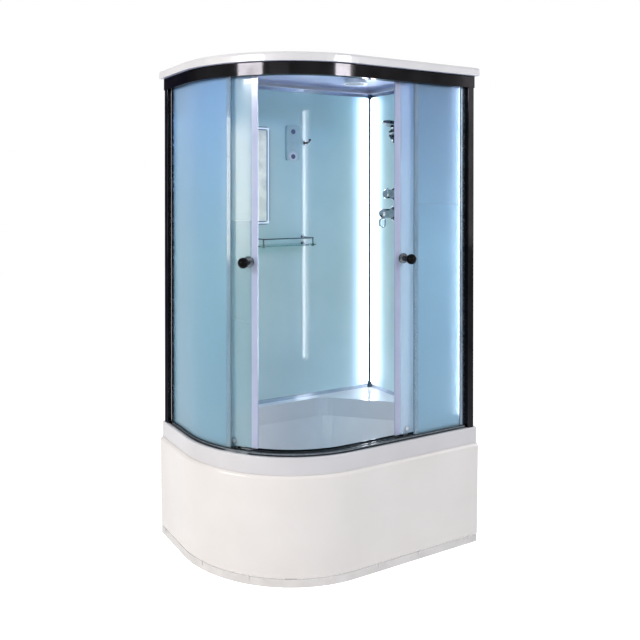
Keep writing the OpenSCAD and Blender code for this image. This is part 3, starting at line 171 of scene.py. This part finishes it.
# The same sheet formed as an apron: a warmer white, with broad soft highlights along its curve
apron_acrylic = surface(
    "formed_acrylic_apron", [(0.3, "#DDD8D6"), (0.7, "#E2DEDC")], drift_mm=260.0,
    rough=(0.16, 0.24), rough_mm=120.0, bump_mm=0.05, bump_size_mm=26.0,
    IOR=ACRYLIC_IOR, Coat_Weight=0.3, Coat_Roughness=0.08)

# Extruded rigid PVC: a plain satin white, slightly greyer than the acrylic above it
plinth_pvc = surface(
    "extruded_rigid_pvc", [(0.3, "#D0CDCC"), (0.7, "#DCD9D8")], drift_mm=60.0, rough=(0.3, 0.4), IOR=1.53)

# Powder-coated steel tube: dull dark grey with the fine pebble of baked powder
frame_powder = surface(
    "powder_coated_steel", [(0.3, "#3A3D41"), (0.7, "#45484C")], drift_mm=30.0,
    rough=(0.45, 0.6), rough_mm=10.0, bump_mm=0.08, bump_size_mm=1.2)

# Zinc-plated steel: spangled pale grey metal with a dull sheen
zinc = surface(
    "zinc_plated_steel", [(0.3, "#A3A7AB"), (0.5, "#BCC0C4"), (0.7, "#CDD0D2")], drift_mm=5.0,
    rough=(0.3, 0.45), rough_mm=4.0, Metallic=1.0)

# Chromium plated on polished brass: a near mirror that shows the dark of the cabin, hazed by dried drops
chrome = surface(
    "chrome_plated_brass", [(0.3, "#A3A8AE"), (0.7, "#BCC1C6")], drift_mm=18.0,
    rough=(0.04, 0.10), rough_mm=9.0, Metallic=1.0)

# The same plating on rails and fittings that the strips leave in shade, with painted shade: a darker base
# colour stands in for the dark it mirrors
shaded_chrome = surface(
    "chrome_plate_in_shade", [(0.3, "#4A5056"), (0.7, "#666C72")], drift_mm=18.0,
    rough=(0.05, 0.12), rough_mm=9.0, Metallic=1.0)

# Polypropylene, injection moulded: milky white with a waxy, slightly rough skin
trap_polypropylene = surface(
    "moulded_polypropylene", [(0.3, "#D6D5D1"), (0.7, "#E2E1DE")], drift_mm=30.0,
    rough=(0.4, 0.55), rough_mm=12.0, bump_mm=0.05, bump_size_mm=2.0)

# Aluminium extrusion, polished and chrome plated, with a near-black base colour as painted dark reflection:
# only lamps show bright in it
painted_dark_chrome = surface(
    "black_chrome_plate", [(0.3, "#1B1A1B"), (0.7, "#242325")], drift_mm=90.0,
    rough=(0.07, 0.12), rough_mm=40.0, Metallic=1.0, Specular_Tint=linear("#B4B4B8"))

# Extruded aluminium, polished and clear anodised: bright bluish metal with a slight haze
wall_aluminium = surface(
    "anodised_aluminium", [(0.3, "#B4C0CE"), (0.7, "#CAD4DE")], drift_mm=60.0,
    rough=(0.12, 0.2), Metallic=1.0)

# The same extrusion anodised grey in the inner corner: a thin dark line between two lit walls
corner_aluminium = surface(
    "grey_anodised_aluminium", [(0.3, "#3B4652"), (0.7, "#4C5763")], drift_mm=60.0, Metallic=1.0)

# Satin anodised glazing channel: blue-grey, and darker than the glass it grips
glazing_aluminium = surface(
    "satin_anodised_aluminium", [(0.3, "#6F7F90"), (0.7, "#8593A3")], drift_mm=60.0, Metallic=1.0)

# EPDM rubber, extruded: black and matt with a dusty bloom
rubber = surface(
    "extruded_epdm", [(0.3, "#0B0B0C"), (0.7, "#161617")], drift_mm=8.0,
    rough=(0.35, 0.5), rough_mm=4.0, bump_mm=0.05, bump_size_mm=1.0)

# Flexible PVC edge strip, extruded clear: it takes the colour of the glass and shows only its edges
clear_pvc = surface(
    "clear_flexible_pvc", [(0.3, "#CFE0EA"), (0.7, "#D8E7EF")], drift_mm=120.0,
    rough=(0.05, 0.10), rough_mm=60.0, IOR=1.4, Transmission_Weight=0.9)

# The same PVC filled with chalk for the doors' magnetic seals: a milky lavender band in the strip light
milky_pvc = surface(
    "milky_flexible_pvc", [(0.3, "#BAC3E2"), (0.7, "#C4CCE8")], drift_mm=120.0,
    rough=(0.14, 0.2), rough_mm=60.0, IOR=1.5, Transmission_Weight=0.35, Coat_Weight=0.3)

# Phenolic resin, moulded and buffed: a black ball with one small sharp glint
phenolic = surface(
    "moulded_phenolic", [(0.3, "#050506"), (0.7, "#0B0B0D")], drift_mm=15.0,
    rough=(0.04, 0.07), rough_mm=8.0, IOR=1.28, Specular_IOR_Level=0.12)

# Nylon, injection moulded: dark grey and waxy
nylon = surface(
    "moulded_nylon", [(0.3, "#34383E"), (0.7, "#454A51")], drift_mm=6.0, rough=(0.35, 0.5), rough_mm=4.0)

# ABS, injection moulded white: satin, with a fine even grain
white_abs = surface(
    "moulded_white_abs", [(0.3, "#DCDCDE"), (0.7, "#E8E8EA")], drift_mm=30.0,
    rough=(0.3, 0.42), rough_mm=12.0, bump_mm=0.03, bump_size_mm=3.0)

# ABS, injection moulded black: matt, so the rotor reads as a dark hole
black_abs = surface(
    "moulded_black_abs", [(0.3, "#202123"), (0.7, "#2C2D30")], drift_mm=20.0,
    rough=(0.35, 0.5), rough_mm=8.0)

# Smoked acrylic key, moulded: a small dusky disc in the panel's face
smoked_key = surface(
    "smoked_acrylic_key", [(0.3, "#4E5064"), (0.7, "#5C5E72")], drift_mm=6.0,
    rough=(0.10, 0.16), rough_mm=4.0, IOR=ACRYLIC_IOR)

# Cast brass, left as it came from the mould: warm and dull, with sand grain
brass = surface(
    "sand_cast_brass", [(0.3, "#A9853F"), (0.7, "#C29C52")], drift_mm=12.0,
    rough=(0.3, 0.45), rough_mm=6.0, bump_mm=0.06, bump_size_mm=1.5, Metallic=1.0)


def painted_corner_glow(tree, plan):
    """Colour of the light painted as emission on the paint beside the strips in the inner corner."""
    strips = [(CORNER_X - STRIP_MIDDLE, CORNER_Y, 0), (CORNER_X, CORNER_Y - STRIP_MIDDLE, 0)]
    reach = [add(tree, "ShaderNodeVectorMath", {0: plan, 1: strip}, operation="DISTANCE").outputs["Value"]
             for strip in strips]
    near = add(tree, "ShaderNodeMath", {0: reach[0], 1: reach[1]}, operation="MINIMUM").outputs[0]
    fade = add(tree, "ShaderNodeMapRange", {
        "Value": near, "From Min": CORNER_GLOW[0], "From Max": CORNER_GLOW[1]}).outputs[0]
    stops = [(0.0, "#F2F8FF"), (0.22, "#BFD0E6"), (0.5, "#6C83B0"), (0.78, "#2C3A5C"), (1.0, "#000000")]
    return add(tree, "ShaderNodeValToRGB", {"Fac": fade}, stops).outputs[0]


def painted_single_glow(tree, plan):
    """Strength of the light painted as emission beside the single strip: full beside the strip, and none
    past its reach.
    """
    strip = (CORNER_X, SINGLE_STRIP_Y, 0)
    reach = add(tree, "ShaderNodeVectorMath", {0: plan, 1: strip}, operation="DISTANCE").outputs["Value"]
    return add(tree, "ShaderNodeMapRange", {
        "Value": reach, "From Min": SINGLE_GLOW[0], "From Max": SINGLE_GLOW[1],
        "To Min": SINGLE_GLOW_STRENGTH, "To Max": 0.0}, interpolation_type="SMOOTHSTEP").outputs[0]


def back_painted_glass():
    """Toughened glass painted on its back: a soft colour under a sharp surface, and painted light beside
    the strips.
    """
    material, tree, out = new_material("back_painted_glass")
    place = add(tree, "ShaderNodeTexCoord").outputs["Object"]
    split = add(tree, "ShaderNodeSeparateXYZ", {"Vector": place}).outputs
    part = add(tree, "ShaderNodeMapRange", {
        "Value": split["Z"], "From Min": WALL_LOW[2], "From Max": WALL_HIGH[2]}).outputs[0]
    # Painted light and shade: the ground's tone changes from foot to top to match how the wall is lit at
    # each height
    ground = add(tree, "ShaderNodeValToRGB", {"Fac": part}, [
        (0.0, "#B7CBCF"), (0.12, "#B2C5C8"), (0.35, "#A8BAB9"), (0.8, "#A5BCB8"), (1.0, "#ABCED1")])
    drift = add(tree, "ShaderNodeTexNoise", {"Vector": place, "Scale": per_metre(300.0)})
    cloud_stops = [(0.3, "#F2F5F6"), (0.7, "#FFFFFF")]
    cloud = add(tree, "ShaderNodeValToRGB", {"Fac": drift.outputs[0]}, cloud_stops)
    tone = add(tree, "ShaderNodeMix", {"Factor": 1.0, "A": ground.outputs[0], "B": cloud.outputs[0]},
               data_type="RGBA", blend_type="MULTIPLY")
    wipe = add(tree, "ShaderNodeTexNoise", {"Vector": place, "Scale": per_metre(60.0)})
    gloss_stops = [(0.3, grey(0.30)), (0.7, grey(0.40))]
    gloss = add(tree, "ShaderNodeValToRGB", {"Fac": wipe.outputs[0]}, gloss_stops)
    plan = add(tree, "ShaderNodeCombineXYZ", {"X": split["X"], "Y": split["Y"]}).outputs[0]
    single = painted_single_glow(tree, plan)
    # Painted light: the glow beside the strips, given to the paint as emission
    single_tone = add(tree, "ShaderNodeMix", {
        "Factor": single, "A": linear("#000000"), "B": linear("#FFF6FA")}, data_type="RGBA")
    lit = add(tree, "ShaderNodeMix", {
        "Factor": 1.0, "A": painted_corner_glow(tree, plan), "B": single_tone.outputs["Result"]},
        data_type="RGBA", blend_type="ADD")
    strength = add(tree, "ShaderNodeMath", {0: single, 1: CORNER_GLOW_STRENGTH}, operation="MAXIMUM")
    shader = add(tree, "ShaderNodeBsdfPrincipled", {
        "Base Color": tone.outputs["Result"], "Roughness": gloss.outputs[0], "IOR": GLASS_IOR,
        "Coat Weight": 1.0, "Coat Roughness": 0.012, "Coat IOR": GLASS_IOR,
        "Emission Color": lit.outputs["Result"], "Emission Strength": strength.outputs[0]})
    tree.links.new(shader.outputs[0], out.inputs["Surface"])
    return material


def acid_etched_glass(name, tints):
    """Toughened glass tinted blue and acid etched: it blurs what is behind it and glows where light falls.

    tints are its milky colours at the foot, at half height and at the top, with painted light and shade in
    them.
    """
    material, tree, out = new_material(name)
    place = add(tree, "ShaderNodeTexCoord").outputs["Object"]
    height = add(tree, "ShaderNodeSeparateXYZ", {"Vector": place}).outputs["Z"]
    part = add(tree, "ShaderNodeMapRange", {
        "Value": height, "From Min": GLASS_LOW[2], "From Max": GLASS_HIGH[2]}).outputs[0]
    levels = (0.0, 0.5, 1.0)
    tint = add(tree, "ShaderNodeValToRGB", {"Fac": part}, list(zip(levels, tints))).outputs[0]
    clear_tints = ("#D9E8EE", "#D8E7EE", "#CFE0F2")
    clear_tint = add(tree, "ShaderNodeValToRGB", {"Fac": part}, list(zip(levels, clear_tints))).outputs[0]
    grain = add(tree, "ShaderNodeTexNoise", {"Vector": place, "Scale": per_metre(2.0), "Detail": 2.0})
    etch_stops = [(0.3, grey(0.13)), (0.7, grey(0.19))]
    etch = add(tree, "ShaderNodeValToRGB", {"Fac": grain.outputs[0]}, etch_stops)
    milk = add(tree, "ShaderNodeBsdfPrincipled", {
        "Base Color": tint, "Roughness": 0.4, "IOR": 1.5, "Coat Weight": 0.8, "Coat Roughness": 0.03})
    glow = add(tree, "ShaderNodeBsdfTranslucent", {"Color": tint})
    cloudy = add(tree, "ShaderNodeMixShader", {0: 0.5, 1: milk.outputs[0], 2: glow.outputs[0]})
    clear = add(tree, "ShaderNodeBsdfPrincipled", {
        "Base Color": clear_tint, "Roughness": etch.outputs[0], "IOR": 1.45, "Transmission Weight": 1.0})
    glass = add(tree, "ShaderNodeMixShader", {0: 0.58, 1: cloudy.outputs[0], 2: clear.outputs[0]})
    tree.links.new(clear_to_shadows(tree, glass.outputs[0], clear_tint), out.inputs["Surface"])
    return material


def shelf_float_glass():
    """Clear toughened float glass with polished edges: a faint green body that deepens at the edge."""
    material, tree, out = new_material("clear_float_glass")
    place = add(tree, "ShaderNodeTexCoord").outputs["Object"]
    drift = add(tree, "ShaderNodeTexNoise", {"Vector": place, "Scale": per_metre(80.0)})
    body_stops = [(0.3, "#BFE0DA"), (0.7, "#CDE9E4")]
    body = add(tree, "ShaderNodeValToRGB", {"Fac": drift.outputs[0]}, body_stops)
    shader = add(tree, "ShaderNodeBsdfPrincipled", {
        "Base Color": body.outputs[0], "Roughness": 0.02, "IOR": 1.5, "Transmission Weight": 1.0})
    tree.links.new(clear_to_shadows(tree, shader.outputs[0], body.outputs[0]), out.inputs["Surface"])
    return material


def lit_opal(name, code, strength):
    """Opal acrylic lit from behind: even light with faint diode bands 30 mm apart."""
    material, tree, out = new_material(name)
    place = add(tree, "ShaderNodeTexCoord").outputs["Object"]
    along = add(tree, "ShaderNodeMapping", {"Vector": place, "Scale": (0.2, 0.2, 1.0)}).outputs[0]
    drift = add(tree, "ShaderNodeTexNoise", {"Vector": along, "Scale": per_metre(30.0)})
    band_stops = [(0.3, grey(0.92)), (0.7, grey(1.0))]
    band = add(tree, "ShaderNodeValToRGB", {"Fac": drift.outputs[0]}, band_stops)
    tone = add(tree, "ShaderNodeMix", {"Factor": 1.0, "A": linear(code), "B": band.outputs[0]},
               data_type="RGBA", blend_type="MULTIPLY")
    shader = add(tree, "ShaderNodeBsdfPrincipled", {
        "Base Color": tone.outputs["Result"], "Roughness": 0.35, "Emission Color": tone.outputs["Result"],
        "Emission Strength": strength})
    tree.links.new(shader.outputs[0], out.inputs["Surface"])
    return material


def edge_distance(tree, name):
    """Distance from a point on a flat upright piece to the nearest side of its box."""
    low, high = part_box(name)
    place = add(tree, "ShaderNodeTexCoord").outputs["Object"]
    split = add(tree, "ShaderNodeSeparateXYZ", {"Vector": place}).outputs
    sides = []
    for axis, number in (("X", 0), ("Z", 2)):
        for more, less in ((split[axis], low[number]), (high[number], split[axis])):
            gap = add(tree, "ShaderNodeMath", {0: more, 1: less}, operation="SUBTRACT")
            sides.append(gap.outputs[0])
    nearest = sides[0]
    for side in sides[1:]:
        nearest = add(tree, "ShaderNodeMath", {0: nearest, 1: side}, operation="MINIMUM").outputs[0]
    return nearest


def silvered_mirror():
    """Silvered float glass: a bright cream painted reflection over the mirror, with a dark line inside its
    bevel.
    """
    material, tree, out = new_material("silvered_float_glass")
    reach = edge_distance(tree, "mirror_glass")
    edge = add(tree, "ShaderNodeMapRange", {"Value": reach, "From Max": MIRROR_BORDER}).outputs[0]
    # Painted reflection: a bright cream base colour, mostly not metallic, stands in for what the mirror
    # shows
    tone = add(tree, "ShaderNodeValToRGB", {"Fac": edge}, [
        (0.0, "#5E6C74"), (0.18, "#66747C"), (0.3, "#F0E8D6"), (1.0, "#FBF0DA")])
    place = add(tree, "ShaderNodeTexCoord").outputs["Object"]
    silver_patches = add(tree, "ShaderNodeTexNoise", {"Vector": place, "Scale": per_metre(70.0), "Detail": 2.0})
    silver_stops = [(0.35, grey(0.10)), (0.65, grey(0.35))]
    silver = add(tree, "ShaderNodeValToRGB", {"Fac": silver_patches.outputs[0]}, silver_stops)
    shader = add(tree, "ShaderNodeBsdfPrincipled", {
        "Base Color": tone.outputs[0], "Metallic": silver.outputs[0], "Roughness": 0.06, "IOR": GLASS_IOR,
        "Coat Weight": 1.0, "Coat Roughness": 0.02})
    tree.links.new(shader.outputs[0], out.inputs["Surface"])
    return material


def polished_bevel():
    """Mirror edge, ground and polished: a white band with a thin dark line where it turns to the wall."""
    material, tree, out = new_material("polished_bevel")
    reach = edge_distance(tree, "mirror_frame")
    edge = add(tree, "ShaderNodeMapRange", {"Value": reach, "From Max": BEVEL_BORDER}).outputs[0]
    tone = add(tree, "ShaderNodeValToRGB", {"Fac": edge}, [
        (0.0, "#4A5A64"), (0.28, "#5A6972"), (0.42, "#F1F5F7"), (1.0, "#FBFCFD")])
    shader = add(tree, "ShaderNodeBsdfPrincipled", {
        "Base Color": tone.outputs[0], "Roughness": 0.15, "IOR": GLASS_IOR, "Coat Weight": 0.6,
        "Coat Roughness": 0.03})
    tree.links.new(shader.outputs[0], out.inputs["Surface"])
    return material


def formed_roof():
    """ABS sheet, vacuum formed: cool white above with faint flow marks, and pale lavender painted light on
    its underside.
    """
    material, tree, out = new_material("formed_abs")
    coordinates = add(tree, "ShaderNodeTexCoord").outputs
    place = coordinates["Object"]
    drift = add(tree, "ShaderNodeTexNoise", {"Vector": place, "Scale": per_metre(180.0)}).outputs[0]
    above = add(tree, "ShaderNodeValToRGB", {"Fac": drift}, [(0.3, "#C6C5C8"), (0.7, "#CFCED0")])
    # Painted light: faces turned down into the lit cabin get a brighter lavender than the top
    underside_painted_light = add(tree, "ShaderNodeValToRGB", {"Fac": drift}, [(0.3, "#D2DCFC"), (0.7, "#DAE3FF")])
    turn = add(tree, "ShaderNodeSeparateXYZ", {"Vector": coordinates["Normal"]}).outputs["Z"]
    under = add(tree, "ShaderNodeMapRange", {
        "Value": turn, "From Min": -0.15, "From Max": -0.5}).outputs[0]
    tone = add(tree, "ShaderNodeMix", {"Factor": under, "A": above.outputs[0], "B": underside_painted_light.outputs[0]},
               data_type="RGBA")
    flow = add(tree, "ShaderNodeTexNoise", {"Vector": place, "Scale": per_metre(8.0), "Detail": 2.0})
    skin = add(tree, "ShaderNodeBump", {"Height": flow.outputs[0], "Distance": 0.04 * MM, "Strength": 1.0})
    shader = add(tree, "ShaderNodeBsdfPrincipled", {
        "Base Color": tone.outputs["Result"], "Roughness": 0.34, "IOR": ABS_IOR, "Coat Weight": 0.2,
        "Normal": skin.outputs[0]})
    tree.links.new(shader.outputs[0], out.inputs["Surface"])
    return material


def panel_front():
    """Smoked acrylic cover over the panel's lamps: glassy grey, with a pink bloom at the power button."""
    material, tree, out = new_material("smoked_acrylic")
    place = add(tree, "ShaderNodeTexCoord").outputs["Object"]
    drift = add(tree, "ShaderNodeTexNoise", {"Vector": place, "Scale": per_metre(40.0)})
    tone_stops = [(0.3, "#95A9A8"), (0.7, "#A1B3B2")]
    tone = add(tree, "ShaderNodeValToRGB", {"Fac": drift.outputs[0]}, tone_stops)
    button = middle("power_button")
    reach = add(tree, "ShaderNodeVectorMath", {0: place, 1: button}, operation="DISTANCE").outputs["Value"]
    fade = add(tree, "ShaderNodeMapRange", {
        "Value": reach, "From Min": BLOOM[0], "From Max": BLOOM[1], "To Min": 1.0, "To Max": 0.0},
        interpolation_type="SMOOTHSTEP").outputs[0]
    bloom = add(tree, "ShaderNodeMix", {"Factor": fade, "A": linear("#000000"), "B": linear("#D9A6C4")},
                data_type="RGBA")
    shader = add(tree, "ShaderNodeBsdfPrincipled", {
        "Base Color": tone.outputs[0], "Roughness": 0.12, "IOR": ACRYLIC_IOR, "Coat Weight": 0.6,
        "Coat Roughness": 0.03, "Emission Color": bloom.outputs["Result"], "Emission Strength": 0.22})
    tree.links.new(shader.outputs[0], out.inputs["Surface"])
    return material


def dress(material, *names):
    """Gives a material to CAD nodes."""
    for name in names:
        data = nodes[name].data
        data.materials.clear()
        data.materials.append(material)


# The four panes are one glass; their tints are painted light and shade, in the colours that the strips and
# the walls behind give each of them: shaded at the top of the right pane, lit on the right door, green on
# the left door
left_pane = acid_etched_glass("acid_etched_glass", ("#95B9CB", "#9BBED0", "#97BAD8"))
right_pane = acid_etched_glass("acid_etched_shaded_glass", ("#95B9CB", "#9BBED0", "#65858F"))
left_door = acid_etched_glass("acid_etched_glass_in_painted_green_light", ("#A0BCC5", "#90ADB2", "#A3BFCC"))
right_door = acid_etched_glass("acid_etched_lit_glass", ("#D6E4F6", "#D0DEF2", "#BFD0EE"))

dress(tray_acrylic, "tray_basin")
dress(apron_acrylic, "tray_apron")
dress(plinth_pvc, "apron_plinth", "apron_clips")
dress(frame_powder, "tray_frame")
dress(zinc, "levelling_feet", "left_door_brackets", "right_door_brackets")
dress(chrome, "waste_strainer", "diverter_knob", "mixer_cap", "mixer_lever")
dress(shaded_chrome, "bottom_rail", "left_knob_base", "right_knob_base", "shelf_rail", "robe_hook",
      "hand_shower_bracket", "hand_shower", "mixer_plates", "hose_outlet")
dress(trap_polypropylene, "waste_trap")
dress(back_painted_glass(), "back_wall_panel", "side_wall_panel")
dress(painted_dark_chrome, "left_post", "right_post", "header_rail")
dress(wall_aluminium, "wall_rails")
dress(corner_aluminium, "corner_profile")
dress(glazing_aluminium, "glazing_profiles")
dress(lit_opal("opal_diffuser", "#F0F4FA", 11.0), "light_strips")
dress(rubber, "sill_gasket")
dress(left_pane, "left_fixed_glass")
dress(right_pane, "right_fixed_glass")
dress(left_door, "left_door_glass")
dress(right_door, "right_door_glass")
dress(clear_pvc, "fixed_glass_edges")
dress(milky_pvc, "left_door_seal", "right_door_seal")
dress(phenolic, "left_knob", "right_knob")
dress(nylon, *[name for name in nodes if "_roller_" in name])
dress(formed_roof(), "roof_shell", "rain_head")
dress(white_abs, "fan_housing")
dress(smoked_key, "mode_button", "power_button")
dress(panel_front(), "control_panel")
dress(black_abs, "fan_rotor")
dress(silvered_mirror(), "mirror_glass")
dress(polished_bevel(), "mirror_frame")
dress(shelf_float_glass(), "shelf_glass")
dress(brass, "mixer_valve")


# Left post, narrower than the CAD's, as the photo shows it

POST_LOW, POST_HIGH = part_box("left_post")
# Taken off the post's inner side
POST_TRIM = 18 * MM
POST_WALL = 2 * MM
# Radius of its two front edges
POST_EDGE = 3 * MM
POST_EDGE_STEPS = 6


def extruded(name, outline, low, high, material):
    """Mesh object with a flat outline, drawn up from height low to height high."""
    form = bmesh.new()
    base = form.faces.new([form.verts.new((x, y, low)) for x, y in outline])
    raised = bmesh.ops.extrude_face_region(form, geom=[base])["geom"]
    tops = [part for part in raised if isinstance(part, bmesh.types.BMVert)]
    bmesh.ops.translate(form, vec=(0, 0, high - low), verts=tops)
    bmesh.ops.recalc_face_normals(form, faces=form.faces)
    mesh = bpy.data.meshes.new(name)
    form.to_mesh(mesh)
    form.free()
    mesh.materials.append(material)
    made = bpy.data.objects.new(name, mesh)
    scene.collection.objects.link(made)
    return made


def post_outline():
    """U section that opens to the wall, with round front edges."""
    left, front = POST_LOW[:2]
    right, back = POST_HIGH[0] - POST_TRIM, POST_HIGH[1]
    outline = [(left, back)]
    for centre, start in ((left + POST_EDGE, 180), (right - POST_EDGE, 270)):
        for step in range(POST_EDGE_STEPS + 1):
            turn = math.radians(start + 90 * step / POST_EDGE_STEPS)
            across, along = POST_EDGE * math.cos(turn), POST_EDGE * (1 + math.sin(turn))
            outline.append((centre + across, front + along))
    outline += [(right, back), (right - POST_WALL, back), (right - POST_WALL, front + POST_WALL)]
    outline += [(left + POST_WALL, front + POST_WALL), (left + POST_WALL, back)]
    return outline


slim_post = extruded("left_post_slim", post_outline(), POST_LOW[2], POST_HIGH[2], painted_dark_chrome)
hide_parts("left_post")
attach(slim_post, "cabin")


# Stage

FLOOR_HALF = 12.0
# Strength at which the floor's own light brings it to white in a picture
FLOOR_LIFT = 0.75
FILL_STRENGTH = 0.36


def white_where_seen(tree, lit, seen):
    """Mixes a lit shader with one for the rays that look at the background."""
    path = add(tree, "ShaderNodeLightPath").outputs
    either = add(tree, "ShaderNodeMath", {0: path["Is Glossy Ray"], 1: path["Is Transmission Ray"]},
                 operation="MAXIMUM")
    looks = add(tree, "ShaderNodeMath", {0: path["Is Camera Ray"], 1: either.outputs[0]},
                operation="MAXIMUM")
    return add(tree, "ShaderNodeMixShader", {0: looks.outputs[0], 1: lit, 2: seen})


world = bpy.data.worlds.new("studio")
scene.world = world
world.use_nodes = True
world.node_tree.nodes.clear()
fill = add(world.node_tree, "ShaderNodeBackground", {"Color": linear("#EEF3FA"), "Strength": FILL_STRENGTH})
white = add(world.node_tree, "ShaderNodeBackground", {"Color": (1, 1, 1, 1), "Strength": 1.0})
backdrop = white_where_seen(world.node_tree, fill.outputs[0], white.outputs[0])
add(world.node_tree, "ShaderNodeOutputWorld", {"Surface": backdrop.outputs[0]})

floor_mesh = bpy.data.meshes.new("floor")
floor_corners = [(x * FLOOR_HALF, y * FLOOR_HALF, 0) for x, y in ((-1, -1), (1, -1), (1, 1), (-1, 1))]
floor_mesh.from_pydata(floor_corners, [], [(0, 1, 2, 3)])
floor = bpy.data.objects.new("floor", floor_mesh)
scene.collection.objects.link(floor)
floor_material, floor_tree, floor_out = new_material("floor_paper")
paper = add(floor_tree, "ShaderNodeBsdfDiffuse", {"Color": linear("#F4F4F4")})
lift = add(floor_tree, "ShaderNodeEmission", {"Color": (1, 1, 1, 1), "Strength": FLOOR_LIFT})
bright_paper = add(floor_tree, "ShaderNodeAddShader", {0: paper.outputs[0], 1: lift.outputs[0]})
shown = white_where_seen(floor_tree, paper.outputs[0], bright_paper.outputs[0])
floor_tree.links.new(shown.outputs[0], floor_out.inputs["Surface"])
floor_mesh.materials.append(floor_material)


# Camera, where the photo was taken from

EYE = Vector((-1.8145, -2.8635, 1.564))
HEADING = math.radians(29.99)
PITCH = math.radians(0.33)
FOCAL_PIXELS = 749.0
PHOTO_PIXELS = 640
SENSOR_MM = 36.0
# The lens points away from the middle of the photo, as in a cropped one
SHIFT_RIGHT = 0.0515
SHIFT_UP = -0.192

camera_data = bpy.data.cameras.new("camera")
camera_data.sensor_width = SENSOR_MM
camera_data.lens = SENSOR_MM * FOCAL_PIXELS / PHOTO_PIXELS
camera_data.shift_x = SHIFT_RIGHT
camera_data.shift_y = SHIFT_UP
camera = bpy.data.objects.new("camera", camera_data)
camera.location = EYE
camera.rotation_euler = (math.pi / 2 - PITCH, 0, -HEADING)
scene.collection.objects.link(camera)
scene.camera = camera


# Lamps

def softbox(name, place, aim, width, height, watts, code="#FFFFFF"):
    """Rectangular area lamp at place that looks at aim."""
    data = bpy.data.lights.new(name, "AREA")
    data.shape = "RECTANGLE"
    data.size, data.size_y, data.energy = width, height, watts
    data.color = linear(code)[:3]
    lamp = bpy.data.objects.new(name, data)
    lamp.location = place
    lamp.rotation_euler = (Vector(aim) - Vector(place)).to_track_quat("-Z", "Y").to_euler()
    scene.collection.objects.link(lamp)


softbox("key", (-3.2, -3.6, 3.4), (0, 0, 1.1), 1.6, 2.2, 9)
# The pale patch that the left door mirrors
softbox("window", (-3.38, -0.38, 1.6), (-0.454, -0.121, 1.58), 1.4, 1.14, 36, "#FFF4E6")
softbox("side", (3.4, -2.6, 2.2), (0.2, 0, 1.0), 1.2, 2.4, 24)
softbox("top", (0.0, -0.4, 4.6), (0, 0, 1.0), 2.6, 2.0, 20)
# The two gleams on the header
softbox("streak_left", (-3.24, -1.28, 2.56), (-0.45, -0.2, 2.06), 1.4, 0.22, 52)
softbox("streak_front", (1.0, -3.2, 2.56), (-0.12, -0.37, 2.06), 0.9, 0.22, 38)
